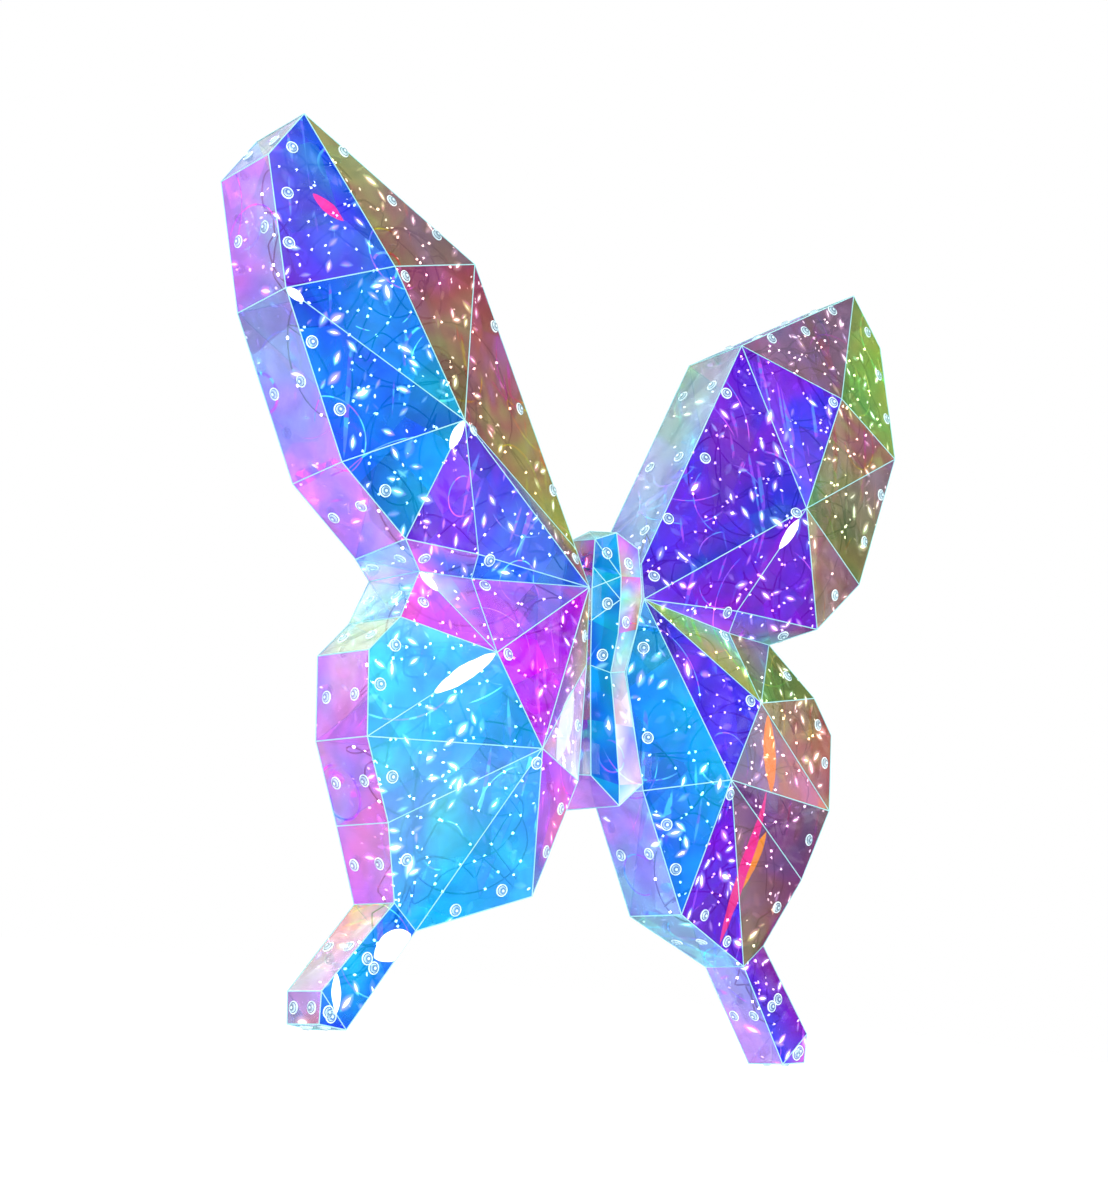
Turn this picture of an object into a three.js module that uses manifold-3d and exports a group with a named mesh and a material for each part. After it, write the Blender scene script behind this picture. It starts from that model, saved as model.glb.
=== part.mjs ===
// A pair of light-up butterfly wings folded from iridescent film: two wing shells hinged to a slim body.
// Millimetres. +Z up, -Y is the decorated front, +X the wearer's right-hand wing as the front shows it.
// Origin: centre of the flat rear face of the back plate.
import * as THREE from "three";
import { mergeVertices } from "three/addons/utils/BufferGeometryUtils.js";
import Module from "manifold-3d";

const wasm = await Module();
wasm.setup();

// ---- Driving sizes ----
const filmThickness = 1.2; // stands in for 0.3 mm film
const seamGap = 0.3; // between two sheets that share a fold line
const cornerTrim = 2.2; // walls stop this far short of a corner that two of them share
const wingSpan = 368; // root to outermost rim, one wing
const foreRise = 374; // root to forewing tip
const hindDrop = 332; // root to hindwing's lowest point, without the tail
const tailLength = 90;
const shellDepth = 70; // rim to rim, front to back
const backRelief = 12; // how far the rear sheets are raised at their folds
const thoraxHalfWidth = 32;
const waistHalfWidth = 22;
const hipHalfWidth = 33;
const bodyHeight = 245;
const bodyBackY = 47.2; // inner face of the back plate, measured from the wing root
const plateThickness = 2.5;
const hingeClearance = 3.5; // body edge to wing root
const tabReach = 9;
const tabThickness = 0.8;
const wireRadius = 0.8;
const rivetHead = 5.8;
const rivetCap = 3.9;
const rivetShank = 2.2;
const cellRadius = 7.25;
const cellLength = 50.5;
const caseWall = 1.5;
const contactThickness = 0.6;
const switchTravel = 5;
const knobFlange = 1.6;
const knobHalf = 1.6;
const knobRise = 1.8;
const switchDepth = 5;
const boardThickness = 1.2;

// ---- Values that follow ----
const rootX = thoraxHalfWidth + hingeClearance;
const axisSlope = 0.16; // the hinge line leans back by this much of its height
const waistZ = -0.29 * bodyHeight;
const hipZ = -0.71 * bodyHeight;
const crownZ = 0.19 * bodyHeight;
const plateRearY = bodyBackY + seamGap + plateThickness;
const plateCentreZ = (crownZ + hipZ) / 2 - 6;

const film = {
  azure: { color: 0x1f8fff, roughness: 0.18, metalness: 0.35 },
  violet: { color: 0x6a35f0, roughness: 0.18, metalness: 0.35 },
  magenta: { color: 0xd832e8, roughness: 0.18, metalness: 0.35 },
  cyan: { color: 0x38cdf2, roughness: 0.18, metalness: 0.35 },
  orchid: { color: 0xd9a0ee, roughness: 0.2, metalness: 0.25 },
  mauve: { color: 0xa98398, roughness: 0.2, metalness: 0.3 },
  clear: { color: 0xdfeaf2, roughness: 0.12, metalness: 0 },
};
const shellPlastic = { color: 0xd8dde3, roughness: 0.5, metalness: 0 };
const whitePlastic = { color: 0xf0f0f0, roughness: 0.45, metalness: 0 };
const darkPlastic = { color: 0x2b2d33, roughness: 0.5, metalness: 0 };
const cellSkin = { color: 0x3a5b8c, roughness: 0.35, metalness: 0.3 };
const nickel = { color: 0xc9c9c4, roughness: 0.3, metalness: 1 };
const boardGreen = { color: 0x2f6b3d, roughness: 0.5, metalness: 0 };
const wireClear = { color: 0xc9a27a, roughness: 0.35, metalness: 0.4 };

function meshOf(name, geometry, look) {
  const made = new THREE.Mesh(geometry, new THREE.MeshStandardMaterial(look));
  made.name = name;
  return made;
}

// ---- Solids and booleans ----
function solidOf(geometry) {
  const bare = (geometry.index ? geometry.toNonIndexed() : geometry.clone());
  bare.deleteAttribute("normal");
  bare.deleteAttribute("uv");
  const merged = mergeVertices(bare, 1e-4);
  return new wasm.Manifold(new wasm.Mesh({
    numProp: 3,
    vertProperties: new Float32Array(merged.attributes.position.array),
    triVerts: new Uint32Array(merged.index.array),
  }));
}

function geometryOf(solid) {
  const mesh = solid.getMesh();
  const made = new THREE.BufferGeometry();
  made.setAttribute("position", new THREE.BufferAttribute(new Float32Array(mesh.vertProperties), 3));
  made.setIndex(new THREE.BufferAttribute(new Uint32Array(mesh.triVerts), 1));
  return made;
}

function box(low, high) {
  const size = high.map((value, i) => value - low[i]);
  const middle = high.map((value, i) => (value + low[i]) / 2);
  return new THREE.BoxGeometry(...size).translate(...middle);
}

function cut(geometry, ...tools) {
  return geometryOf(tools.reduce((left, tool) => left.subtract(solidOf(tool)), solidOf(geometry)));
}

function join(...geometries) {
  return geometryOf(geometries.map(solidOf).reduce((left, right) => left.add(right)));
}

// A closed triangle surface from corner points and faces, turned so that it encloses a positive volume.
function closedSurface(corners, triangles) {
  const made = new THREE.BufferGeometry();
  const volume = triangles.reduce((sum, [a, b, c]) =>
    sum + corners[a].dot(corners[b].clone().cross(corners[c])), 0);
  const turned = volume < 0 ? triangles.map(([a, b, c]) => [a, c, b]) : triangles;
  made.setAttribute("position", new THREE.Float32BufferAttribute(
    corners.flatMap((corner) => corner.toArray()), 3));
  made.setIndex(turned.flat());
  return made;
}

// ---- Sheets ----
// The two axes that a sheet is seen along when it is thickened along the third.
const acrossOf = { x: ["y", "z"], y: ["x", "z"], z: ["x", "y"] };

function areaSeen([a, b, c], [u, v]) {
  return (b[u] - a[u]) * (c[v] - a[v]) - (c[u] - a[u]) * (b[v] - a[v]);
}

// Splits polygons of point names into triangles that all turn the same way, seen along the axis.
function trianglesOf(points, faces, seen) {
  return faces.flatMap((face) => face.slice(2).map((_, i) => {
    const corner = [face[0], face[i + 1], face[i + 2]];
    const area = areaSeen(corner.map((name) => points[name]), seen);
    return area > 0 ? corner : [corner[0], corner[2], corner[1]];
  }));
}

function rimEdgesOf(triangles) {
  const edges = triangles.flatMap(([a, b, c]) => [[a, b], [b, c], [c, a]]);
  const known = new Set(edges.map((edge) => edge.join()));
  return edges.filter(([a, b]) => !known.has([b, a].join()));
}

// Corner moved off both of its rim edges by the same distance, seen along the axis.
function movedIn(before, corner, after, distance, [u, v]) {
  const unit = (from, to) => {
    const length = Math.hypot(to[u] - from[u], to[v] - from[v]);
    return [(to[u] - from[u]) / length, (to[v] - from[v]) / length];
  };
  const [first, second] = [unit(before, corner), unit(corner, after)];
  const sum = [-first[1] - second[1], first[0] + second[0]];
  const stretch = (2 * distance) / Math.max(0.25, sum[0] ** 2 + sum[1] ** 2);
  const moved = corner.clone();
  moved[u] += sum[0] * stretch;
  moved[v] += sum[1] * stretch;
  return moved;
}

// A folded sheet: its outer skin is the faces given, and its inner skin is that skin moved along one axis.
function foldedSheet(points, faces, axis, thickness) {
  const seen = acrossOf[axis];
  const triangles = trianglesOf(points, faces, seen);
  const rim = rimEdgesOf(triangles);
  const names = [...new Set(triangles.flat())];
  const outer = names.map((name) => {
    const leaving = rim.find(([a]) => a === name);
    const arriving = rim.find(([, b]) => b === name);
    if (!leaving) return points[name].clone();
    return movedIn(points[arriving[0]], points[name], points[leaving[1]], seamGap / 2, seen);
  });
  const inner = outer.map((corner) => {
    const moved = corner.clone();
    moved[axis] += thickness;
    return moved;
  });
  const at = (name) => names.indexOf(name);
  const far = names.length;
  const skins = triangles.flatMap(([a, b, c]) => [
    [at(a), at(b), at(c)],
    [at(a) + far, at(c) + far, at(b) + far],
  ]);
  const sides = rim.flatMap(([a, b]) => [
    [at(b), at(a), at(a) + far],
    [at(b), at(a) + far, at(b) + far],
  ]);
  return closedSurface([...outer, ...inner], [...skins, ...sides]);
}

// A place's three shares of a triangle seen along Y, which name it inside the triangle and beyond it.
function sharesOf([a, b, c], place) {
  const whole = areaSeen([a, b, c], acrossOf.y);
  return [[place, b, c], [a, place, c], [a, b, place]].map((part) => areaSeen(part, acrossOf.y) / whole);
}

function heightBy(share, corner) {
  return share.reduce((sum, value, i) => sum + value * corner[i].y, 0);
}

// The y of a folded surface over a place, from the face whose outline holds it or comes nearest.
function surfaceY(points, faces, x, z) {
  const best = { outside: Infinity, y: 0 };
  for (const names of trianglesOf(points, faces, acrossOf.y)) {
    const corner = names.map((name) => points[name]);
    const share = sharesOf(corner, { x, z });
    const outside = Math.max(0, ...share.map((value) => -value));
    if (outside < best.outside) {
      best.outside = outside;
      best.y = heightBy(share, corner);
    }
  }
  return best.y;
}

// The y over a place of the face planes that meet at a rim corner: the least or the greatest of them.
function planesY(points, faces, name, x, z, pick) {
  const meeting = trianglesOf(points, faces, acrossOf.y).filter((names) => names.includes(name));
  return pick(...meeting.map((names) => {
    const corner = names.map((each) => points[each]);
    return heightBy(sharesOf(corner, { x, z }), corner);
  }));
}

function towards(from, to, distance) {
  return from.clone().lerp(to, distance / from.distanceTo(to));
}

// A wall: a strip that follows an open rim from a front line to a rear line, thickened to the side given.
function wallStrip(frontLine, rearLine, thickness, startTrim, endTrim) {
  const count = frontLine.length;
  const trimmed = (line) => line.map((corner, i) => {
    if (i === 0) return towards(corner, line[1], startTrim);
    if (i === count - 1) return towards(corner, line[i - 1], endTrim);
    return corner.clone();
  });
  const rows = [trimmed(frontLine), trimmed(rearLine)].map((line) => {
    const inset = line.map((corner, i) => {
      const before = line[i - 1] ?? corner.clone().multiplyScalar(2).sub(line[i + 1]);
      const after = line[i + 1] ?? corner.clone().multiplyScalar(2).sub(line[i - 1]);
      return movedIn(before, corner, after, thickness, acrossOf.y);
    });
    return [line, inset];
  });
  const corners = [];
  for (let i = 0; i < count; i++) {
    corners.push(rows[0][0][i], rows[1][0][i], rows[1][1][i], rows[0][1][i]);
  }
  const triangles = [];
  const quad = (a, b, c, d) => triangles.push([a, b, c], [a, c, d]);
  for (let i = 0; i < count - 1; i++) {
    for (let k = 0; k < 4; k++) {
      const next = (k + 1) % 4;
      quad(4 * i + k, 4 * i + next, 4 * i + 4 + next, 4 * i + 4 + k);
    }
  }
  quad(0, 3, 2, 1);
  const last = 4 * (count - 1);
  quad(last, last + 1, last + 2, last + 3);
  return closedSurface(corners, triangles);
}

function wire(places) {
  const section = new THREE.Shape();
  for (let i = 0; i < 8; i++) {
    const angle = (i * Math.PI) / 4;
    const corner = [wireRadius * Math.cos(angle), wireRadius * Math.sin(angle)];
    if (i === 0) section.moveTo(...corner);
    else section.lineTo(...corner);
  }
  section.closePath();
  const route = new THREE.CatmullRomCurve3(places, false, "centripetal");
  return new THREE.ExtrudeGeometry(section, { steps: 5 * (places.length - 1), extrudePath: route });
}

// ---- Wing ----
// Fold points of one wing as [out from the root, y, up from the root], at the design size.
const designSpan = 368;
const foldPoints = {
  tip: [329, 84, 374], f2: [368, 75, 326], f3: [362, 32, 204], f4: [299, 5, 62], f5: [230, -9, 6],
  notch: [190, 16, -16], f7: [258, 18, 246], f8: [187, -18, 120], f9: [141, 51, 278], f10: [132, 7, 9],
  f11: [131, 14, -13], shoulder: [7, 17, 35], root: [0, 0, 0], h1: [230, -15, -63], h2: [134, -37, -80],
  h3: [85, -57, -159], h4: [260, -15, -96], h5: [258, -25, -171], h6: [226, -28, -242], h7: [197, -14, -310],
  h8: [171, -16, -332], h9: [59, -37, -290],
};
// The tail's outer end corners, from the corner of the hindwing that each one hangs from.
const tailPoints = { t1: ["h7", 71, -4, -81], t2: ["h7", 70, -5, -109], t3: ["h8", 66, -3, -90] };

const faces = {
  forewing_outer_sheet: [["tip", "f2", "f3", "f7"], ["f3", "f7", "f8"], ["f3", "f8", "f4"],
    ["f4", "f8", "f5"], ["f5", "f8", "f10"], ["f8", "root", "f10"]],
  forewing_inner_sheet: [["tip", "f7", "f9"], ["f7", "f9", "f8"], ["f9", "f8", "shoulder"],
    ["shoulder", "f8", "root"]],
  forewing_lower_sheet: [["f5", "f10", "f11", "notch"], ["f10", "root", "f11"]],
  hindwing_upper_sheet: [["notch", "h1", "h2"], ["notch", "f11", "h2"], ["f11", "root", "h2"]],
  hindwing_outer_sheet: [["h1", "h4", "h5", "h2"], ["h5", "h2", "h3"], ["h5", "h3", "h6"]],
  hindwing_inner_sheet: [["root", "h2", "h3"], ["root", "h3", "waist"], ["waist", "h3", "h10"],
    ["h3", "h9", "h10"]],
  hindwing_lower_sheet: [["h6", "h3", "h8", "h7"], ["h3", "h8", "h9"]],
};
const foreFaces = ["outer", "inner", "lower"].flatMap((part) => faces[`forewing_${part}_sheet`]);
const hindFaces = ["upper", "outer", "inner", "lower"].flatMap((part) => faces[`hindwing_${part}_sheet`]);
const sheetLooks = {
  forewing_outer_sheet: film.azure, forewing_inner_sheet: film.mauve, forewing_lower_sheet: film.violet,
  hindwing_upper_sheet: film.magenta, hindwing_outer_sheet: film.cyan, hindwing_inner_sheet: film.magenta,
  hindwing_lower_sheet: film.azure,
};

function hingeY(z) {
  return axisSlope * z;
}

function frontPointsOf() {
  const outScale = wingSpan / designSpan;
  const placed = {};
  for (const [name, [out, y, up]] of Object.entries(foldPoints)) {
    const upScale = up > 0 ? foreRise / foldPoints.tip[2] : hindDrop / -foldPoints.h8[2];
    placed[name] = new THREE.Vector3(rootX + out * outScale, y, up * upScale);
  }
  placed.waist = new THREE.Vector3(waistHalfWidth + hingeClearance, hingeY(waistZ) + 14, waistZ);
  placed.h10 = new THREE.Vector3(hipHalfWidth + hingeClearance + 5, hingeY(hipZ) + 6, hipZ - 6);
  const tailScale = tailLength / -tailPoints.t3[3];
  for (const [name, [from, out, y, up]] of Object.entries(tailPoints)) {
    const start = placed[from];
    placed[name] = new THREE.Vector3(start.x + out * tailScale, start.y + y, start.z + up * tailScale);
  }
  return placed;
}

// Rear rim points: each front point moved back by the shell's depth, less towards the tail.
const depthShares = { h7: 0.78, h8: 0.74, t1: 0.66, t2: 0.62, t3: 0.66 };
const leans = { forewing: [-2, -17], hindwing: [1, -7] };

function rearPointsOf(front) {
  const placed = {};
  for (const [name, corner] of Object.entries(front)) {
    const seam = ["notch", "f11", "root"].includes(name);
    const onForewing = name.startsWith("f") || name === "tip" || name === "shoulder";
    const lean = onForewing ? leans.forewing : leans.hindwing;
    const [out, up] = seam ? [0, -9] : lean;
    const share = depthShares[name] ?? 1;
    placed[name] = corner.clone().add(new THREE.Vector3(out * share, shellDepth * share, up * share));
  }
  const flatFace = (x, z, rim) => surfaceY(placed, rim, x, z) + backRelief;
  const foreRim = [["tip", "f2", "f3"], ["tip", "f3", "f9"], ["f9", "f3", "f4"], ["f9", "f4", "root"],
    ["root", "f4", "f5"], ["root", "f5", "notch"]];
  const hindRim = [["root", "notch", "h1"], ["root", "h1", "h10"], ["h10", "h1", "h5"], ["h10", "h5", "h9"],
    ["h9", "h5", "h6"], ["h9", "h6", "h8"]];
  for (const name of ["f7", "f8"]) placed[name].y = flatFace(placed[name].x, placed[name].z, foreRim);
  for (const name of ["h2", "h3"]) placed[name].y = flatFace(placed[name].x, placed[name].z, hindRim);
  return placed;
}

const walls = {
  forewing_outer_wall: { rim: ["tip", "f2", "f3", "f4", "f5", "notch"], look: film.orchid },
  forewing_inner_wall: { rim: ["shoulder", "f9", "tip"], look: film.mauve },
  hindwing_outer_wall: { rim: ["notch", "h1", "h4", "h5", "h6", "h7"], look: film.orchid },
  hindwing_inner_wall: { rim: ["h8", "h9", "h10", "waist"], look: film.orchid },
};

function wallOf(front, rear, rim) {
  const sheets = [...foreFaces, ...hindFaces];
  const clear = filmThickness + 2 * seamGap;
  const frontLine = rim.map((name) => {
    const way = rear[name].clone().sub(front[name]).normalize();
    return front[name].clone().addScaledVector(way, clear);
  });
  const rearLine = rim.map((name) => {
    const way = front[name].clone().sub(rear[name]).normalize();
    return rear[name].clone().addScaledVector(way, clear);
  });
  const made = wallStrip(frontLine, rearLine, -filmThickness, cornerTrim, cornerTrim);
  // Each row holds four corners: two at the front, which stay behind the front sheets, and two at the rear.
  const place = made.attributes.position;
  for (let i = 0; i < place.count; i++) {
    const [x, y, z] = [place.getX(i), place.getY(i), place.getZ(i)];
    const atRear = i % 4 === 1 || i % 4 === 2;
    const name = rim[Math.floor(i / 4)];
    place.setY(i, atRear
      ? Math.min(y, planesY(rear, sheets, name, x, z, Math.min) - clear)
      : Math.max(y, planesY(front, sheets, name, x, z, Math.max) + clear));
  }
  return made;
}

// The tail: a front sheet over a tray made of two walls, an end wall and a rear panel.
const tailRim = ["h7", "t1", "t2", "t3", "h8"];
const tailFaces = [["h7", "t1", "t3", "h8"], ["t1", "t2", "t3"]];

function tailOutline(points) {
  const outline = Object.fromEntries(tailRim.map((name) => [name, points[name].clone()]));
  outline.h7 = towards(points.h7, points.t1, seamGap);
  outline.h8 = towards(points.h8, points.t3, seamGap);
  return outline;
}

function tailParts(front, rear) {
  const near = tailOutline(front);
  const far = tailOutline(rear);
  const clear = new THREE.Vector3(0, filmThickness + 2 * seamGap, 0);
  const wallLine = tailRim.map((name) => near[name].clone().add(clear));
  const strip = wallStrip(wallLine, tailRim.map((name) => far[name]), -filmThickness, 0, 0);
  const panel = foldedSheet(far, tailFaces, "y", -filmThickness);
  return { sheet: foldedSheet(near, tailFaces, "y", filmThickness), tray: join(strip, panel) };
}

// Where each string of lights runs: [out from the root, up from the root, share of the way to the rear].
// A share of 0 is where the wire is taped to the inside of the front sheet.
const lightRoutes = {
  forewing_light_string: [[4, 16, 0.35], [40, 44, 0.5], [92, 40, 0.35], [148, 28, 0.5], [205, 42, 0.4],
    [236, 84, 0.5], [196, 112, 0.25], [132, 96, 0.5], [112, 140, 0.6], [150, 186, 0.4], [212, 168, 0.25],
    [270, 122, 0], [318, 168, 0.55], [284, 214, 0.3], [214, 226, 0.35], [168, 262, 0.5],
    [222, 292, 0.45], [290, 262, 0.3], [338, 244, 0.5], [334, 300, 0.45], [280, 316, 0.5], [318, 348, 0.5]],
  hindwing_light_string: [[14, -20, 0.35], [64, -36, 0.5], [128, -30, 0.4], [186, -52, 0.5],
    [232, -92, 0.5], [212, -128, 0.3], [150, -102, 0.3], [88, -92, 0.35], [44, -126, 0.5],
    [76, -176, 0.3], [142, -160, 0.25], [206, -150, 0], [228, -204, 0.5], [176, -222, 0.4],
    [112, -206, 0.3], [70, -246, 0.5], [124, -278, 0.5], [182, -262, 0.45], [186, -300, 0.5],
    [196, -340, 0.5], [224, -374, 0.5]],
};

function lightString(front, rear, route) {
  const outScale = wingSpan / designSpan;
  const sheets = [...foreFaces, ...hindFaces, ["h7", "t1", "t3", "h8"]];
  return wire(route.map(([out, up, share]) => {
    const upScale = up > 0 ? foreRise / foldPoints.tip[2] : hindDrop / -foldPoints.h8[2];
    const [x, z] = [rootX + out * outScale, up * upScale];
    const near = surfaceY(front, sheets, x, z);
    const far = surfaceY(rear, sheets, x, z);
    const taped = near + filmThickness + 1.15 * (seamGap + wireRadius);
    return new THREE.Vector3(x, share === 0 ? taped : near + share * (far - near), z);
  }));
}

function wing(side, mirror) {
  const front = frontPointsOf();
  const rear = rearPointsOf(front);
  const group = new THREE.Group();
  const add = (name, geometry, look) => group.add(meshOf(`${side}_${name}`, geometry, look));
  for (const [name, look] of Object.entries(sheetLooks)) {
    add(name, foldedSheet(front, faces[name], "y", filmThickness), look);
  }
  add("forewing_rear_sheet", foldedSheet(rear, foreFaces, "y", -filmThickness), film.violet);
  add("hindwing_rear_sheet", foldedSheet(rear, hindFaces, "y", -filmThickness), film.cyan);
  for (const [name, { rim, look }] of Object.entries(walls)) add(name, wallOf(front, rear, rim), look);
  const tail = tailParts(front, rear);
  add("tail_front_sheet", tail.sheet, film.azure);
  add("tail_tray", tail.tray, film.orchid);
  for (const [name, route] of Object.entries(lightRoutes)) {
    add(name, lightString(front, rear, route), wireClear);
  }
  group.scale.x = mirror;
  return group;
}

// ---- Body ----
// Half outline of the front shell from the crown down: [half width, edge y, edge z, ridge y, ridge z].
// From the waist down its y is counted from the hinge line, so that the wings' tabs lie on it.
const midZ = (waistZ + hipZ) / 2;
const bodyRows = [
  [thoraxHalfWidth - 4, 8, crownZ, 10, crownZ + 11],
  [thoraxHalfWidth - 1, 3, 20, -3, 16],
  [thoraxHalfWidth, 0, 0, -6, -6],
  [thoraxHalfWidth - 3, -1, -30, -8, -38],
  [waistHalfWidth, hingeY(waistZ) + 12.368, waistZ, hingeY(waistZ) + 7.368, waistZ - 4],
  [(waistHalfWidth + hipHalfWidth) / 2, hingeY(midZ) + 5.6, midZ, hingeY(midZ) + 1.6, midZ],
  [hipHalfWidth, hingeY(hipZ) - 1.168, hipZ, hingeY(hipZ) - 5.168, hipZ - 5],
];
const hipTip = new THREE.Vector3(0, hingeY(hipZ) - 8.168, hipZ - 24);
const crownPeakZ = crownZ + 11;
const rearShare = 0.8; // rear outline's width against the front's

function bodyPoints() {
  const placed = { hipTip };
  bodyRows.forEach(([half, edgeY, edgeZ, ridgeY, ridgeZ], i) => {
    placed[`left${i}`] = new THREE.Vector3(-half, edgeY, edgeZ);
    placed[`right${i}`] = new THREE.Vector3(half, edgeY, edgeZ);
    placed[`ridge${i}`] = new THREE.Vector3(0, ridgeY, ridgeZ);
  });
  return placed;
}

function bodyFaces() {
  const last = bodyRows.length - 1;
  const made = [[`left${last}`, `ridge${last}`, "hipTip"], [`right${last}`, `ridge${last}`, "hipTip"]];
  for (let i = 0; i < last; i++) {
    made.push([`left${i}`, `ridge${i}`, `ridge${i + 1}`, `left${i + 1}`]);
    made.push([`right${i}`, `ridge${i}`, `ridge${i + 1}`, `right${i + 1}`]);
  }
  return made;
}

// Half outline of the back plate and of what stands on it, at the rear of the side panels.
function rearHalfWidth(row) {
  return bodyRows[row][0] * rearShare;
}

// Where the feed wire leaves the body on both sides, level with the start of the forewing strings.
const feedPort = { y: 10, z: 18 };
const wireWindow = 12;

function sidePanel(side) {
  const clear = filmThickness + 2 * seamGap;
  const front = bodyRows.map(([half, y, z]) => new THREE.Vector3(side * (half - seamGap), y + clear, z));
  const rear = bodyRows.map(([, , z], row) =>
    new THREE.Vector3(side * rearHalfWidth(row), bodyBackY, z));
  const made = wallStrip(front, rear, side * -filmThickness, cornerTrim, cornerTrim);
  const reach = thoraxHalfWidth + 10;
  const half = wireWindow / 2;
  const window = box([-reach, feedPort.y - half, feedPort.z - half],
    [reach, feedPort.y + half, feedPort.z + half]);
  return cut(made, window);
}

// A roof over the top of the body, or a keel under it: two panels that meet on the centre line.
function endCap(row, peakFront, peakRear, upward) {
  const clear = filmThickness + 2 * seamGap;
  const [half, edgeY, edgeZ] = bodyRows[row];
  const points = {
    left: new THREE.Vector3(-half, edgeY + clear, edgeZ),
    right: new THREE.Vector3(half, edgeY + clear, edgeZ),
    peak: new THREE.Vector3(0, peakFront.y + clear, peakFront.z),
    leftRear: new THREE.Vector3(-rearHalfWidth(row), bodyBackY, edgeZ),
    rightRear: new THREE.Vector3(rearHalfWidth(row), bodyBackY, edgeZ),
    peakRear: new THREE.Vector3(0, bodyBackY, peakRear),
  };
  const halves = [["left", "peak", "peakRear", "leftRear"], ["right", "peak", "peakRear", "rightRear"]];
  return foldedSheet(points, halves, "z", upward * -filmThickness);
}

function rivetGeometry(grip) {
  const inside = grip + seamGap;
  const profile = [[0, -inside - 1.4], [rivetHead - 1, -inside - 1.4], [rivetHead - 1, -inside],
    [rivetShank, -inside], [rivetShank, seamGap], [rivetHead, seamGap], [rivetHead, seamGap + 1],
    [rivetCap, seamGap + 1.3], [rivetCap - 0.6, seamGap + 2.4], [0, seamGap + 2.7]];
  return new THREE.LatheGeometry(profile.map(([r, y]) => new THREE.Vector2(r, y)), 20);
}

// Body rivets as [x, z]; each stands square to the front shell.
const rivetPlaces = [[-13, 36], [-14, -12], [10, -26], [-12, waistZ + 13.05], [12, 30]];

function bodyFront() {
  const points = bodyPoints();
  const shellFaces = bodyFaces();
  const shell = foldedSheet(points, shellFaces, "y", filmThickness);
  const made = [];
  const holes = [];
  rivetPlaces.forEach(([x, z], i) => {
    const y = surfaceY(points, shellFaces, x, z);
    const slopeX = (surfaceY(points, shellFaces, x + 2, z) - y) / 2;
    const slopeZ = (surfaceY(points, shellFaces, x, z + 2) - y) / 2;
    const out = new THREE.Vector3(slopeX, -1, slopeZ).normalize();
    const turn = new THREE.Quaternion().setFromUnitVectors(new THREE.Vector3(0, 1, 0), out);
    const unscaled = new THREE.Vector3(1, 1, 1);
    const placed = new THREE.Matrix4().compose(new THREE.Vector3(x, y, z), turn, unscaled);
    holes.push(new THREE.CylinderGeometry(rivetShank + 0.4, rivetShank + 0.4, 12, 20).applyMatrix4(placed));
    const rivet = rivetGeometry(filmThickness + 0.15).applyMatrix4(placed);
    made.push(meshOf(`body_rivet_${i + 1}`, rivet, film.clear));
  });
  return [meshOf("body_front_shell", cut(shell, ...holes), film.azure), ...made];
}

// Clear tabs that carry the wings: each runs from the front shell's edge out to the hinge line.
function hingeTab(name, side, levels) {
  const points = bodyPoints();
  const shellFaces = bodyFaces();
  const corners = {};
  levels.forEach((z, i) => {
    const innerX = side * (shellHalfWidth(z) - tabReach);
    const innerY = surfaceY(points, shellFaces, innerX, z) - 2.5 * seamGap;
    corners[`in${i}`] = new THREE.Vector3(innerX, innerY, z);
    corners[`out${i}`] = new THREE.Vector3(side * (rootX - seamGap), hingeY(z) - 2.5 * seamGap, z);
  });
  const made = levels.slice(1).map((_, i) => [`in${i}`, `out${i}`, `out${i + 1}`, `in${i + 1}`]);
  return meshOf(name, foldedSheet(corners, made, "y", -tabThickness), film.clear);
}

function shellHalfWidth(z) {
  const row = bodyRows.findIndex(([, , edgeZ]) => edgeZ <= z);
  const [upper, lower] = [bodyRows[row - 1], bodyRows[row]];
  const share = (upper[2] - z) / (upper[2] - lower[2]);
  return upper[0] + share * (lower[0] - upper[0]);
}

// ---- Back plate, battery case, switch ----
const cavityHalf = 2 * cellRadius + 1;
const cavityDepth = 2 * cellRadius + 1.4;
const cavityHeight = cellLength + 2 * (contactThickness + 0.9);
const caseHalf = cavityHalf + caseWall;
const caseCentreZ = -16.25;
const caseTop = caseCentreZ + cavityHeight / 2 + caseWall;
const caseBottom = caseCentreZ - cavityHeight / 2 - caseWall;
const lidThickness = 1.4;
const caseRearY = plateRearY - lidThickness - seamGap;
const caseFrontY = caseRearY - cavityDepth - caseWall;
const windowGap = 0.4;
const switchZ = caseTop + 16;
const flangeReach = 1.6;

function plateBlank() {
  const corners = bodyRows.map(([, , z], row) => [rearHalfWidth(row), z]);
  const mirrored = corners.map(([half, z]) => [-half, z]).reverse();
  const outline = [...corners, [0, hipTip.z], ...mirrored, [0, crownPeakZ]];
  const shape = new THREE.Shape(outline.map(([x, z]) => new THREE.Vector2(x, z)));
  // The shape's plane is turned upright, so its depth runs to -Y and is then moved to the plate's place.
  return new THREE.ExtrudeGeometry(shape, { depth: plateThickness, bevelEnabled: false })
    .rotateX(Math.PI / 2).translate(0, plateRearY, 0);
}

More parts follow.
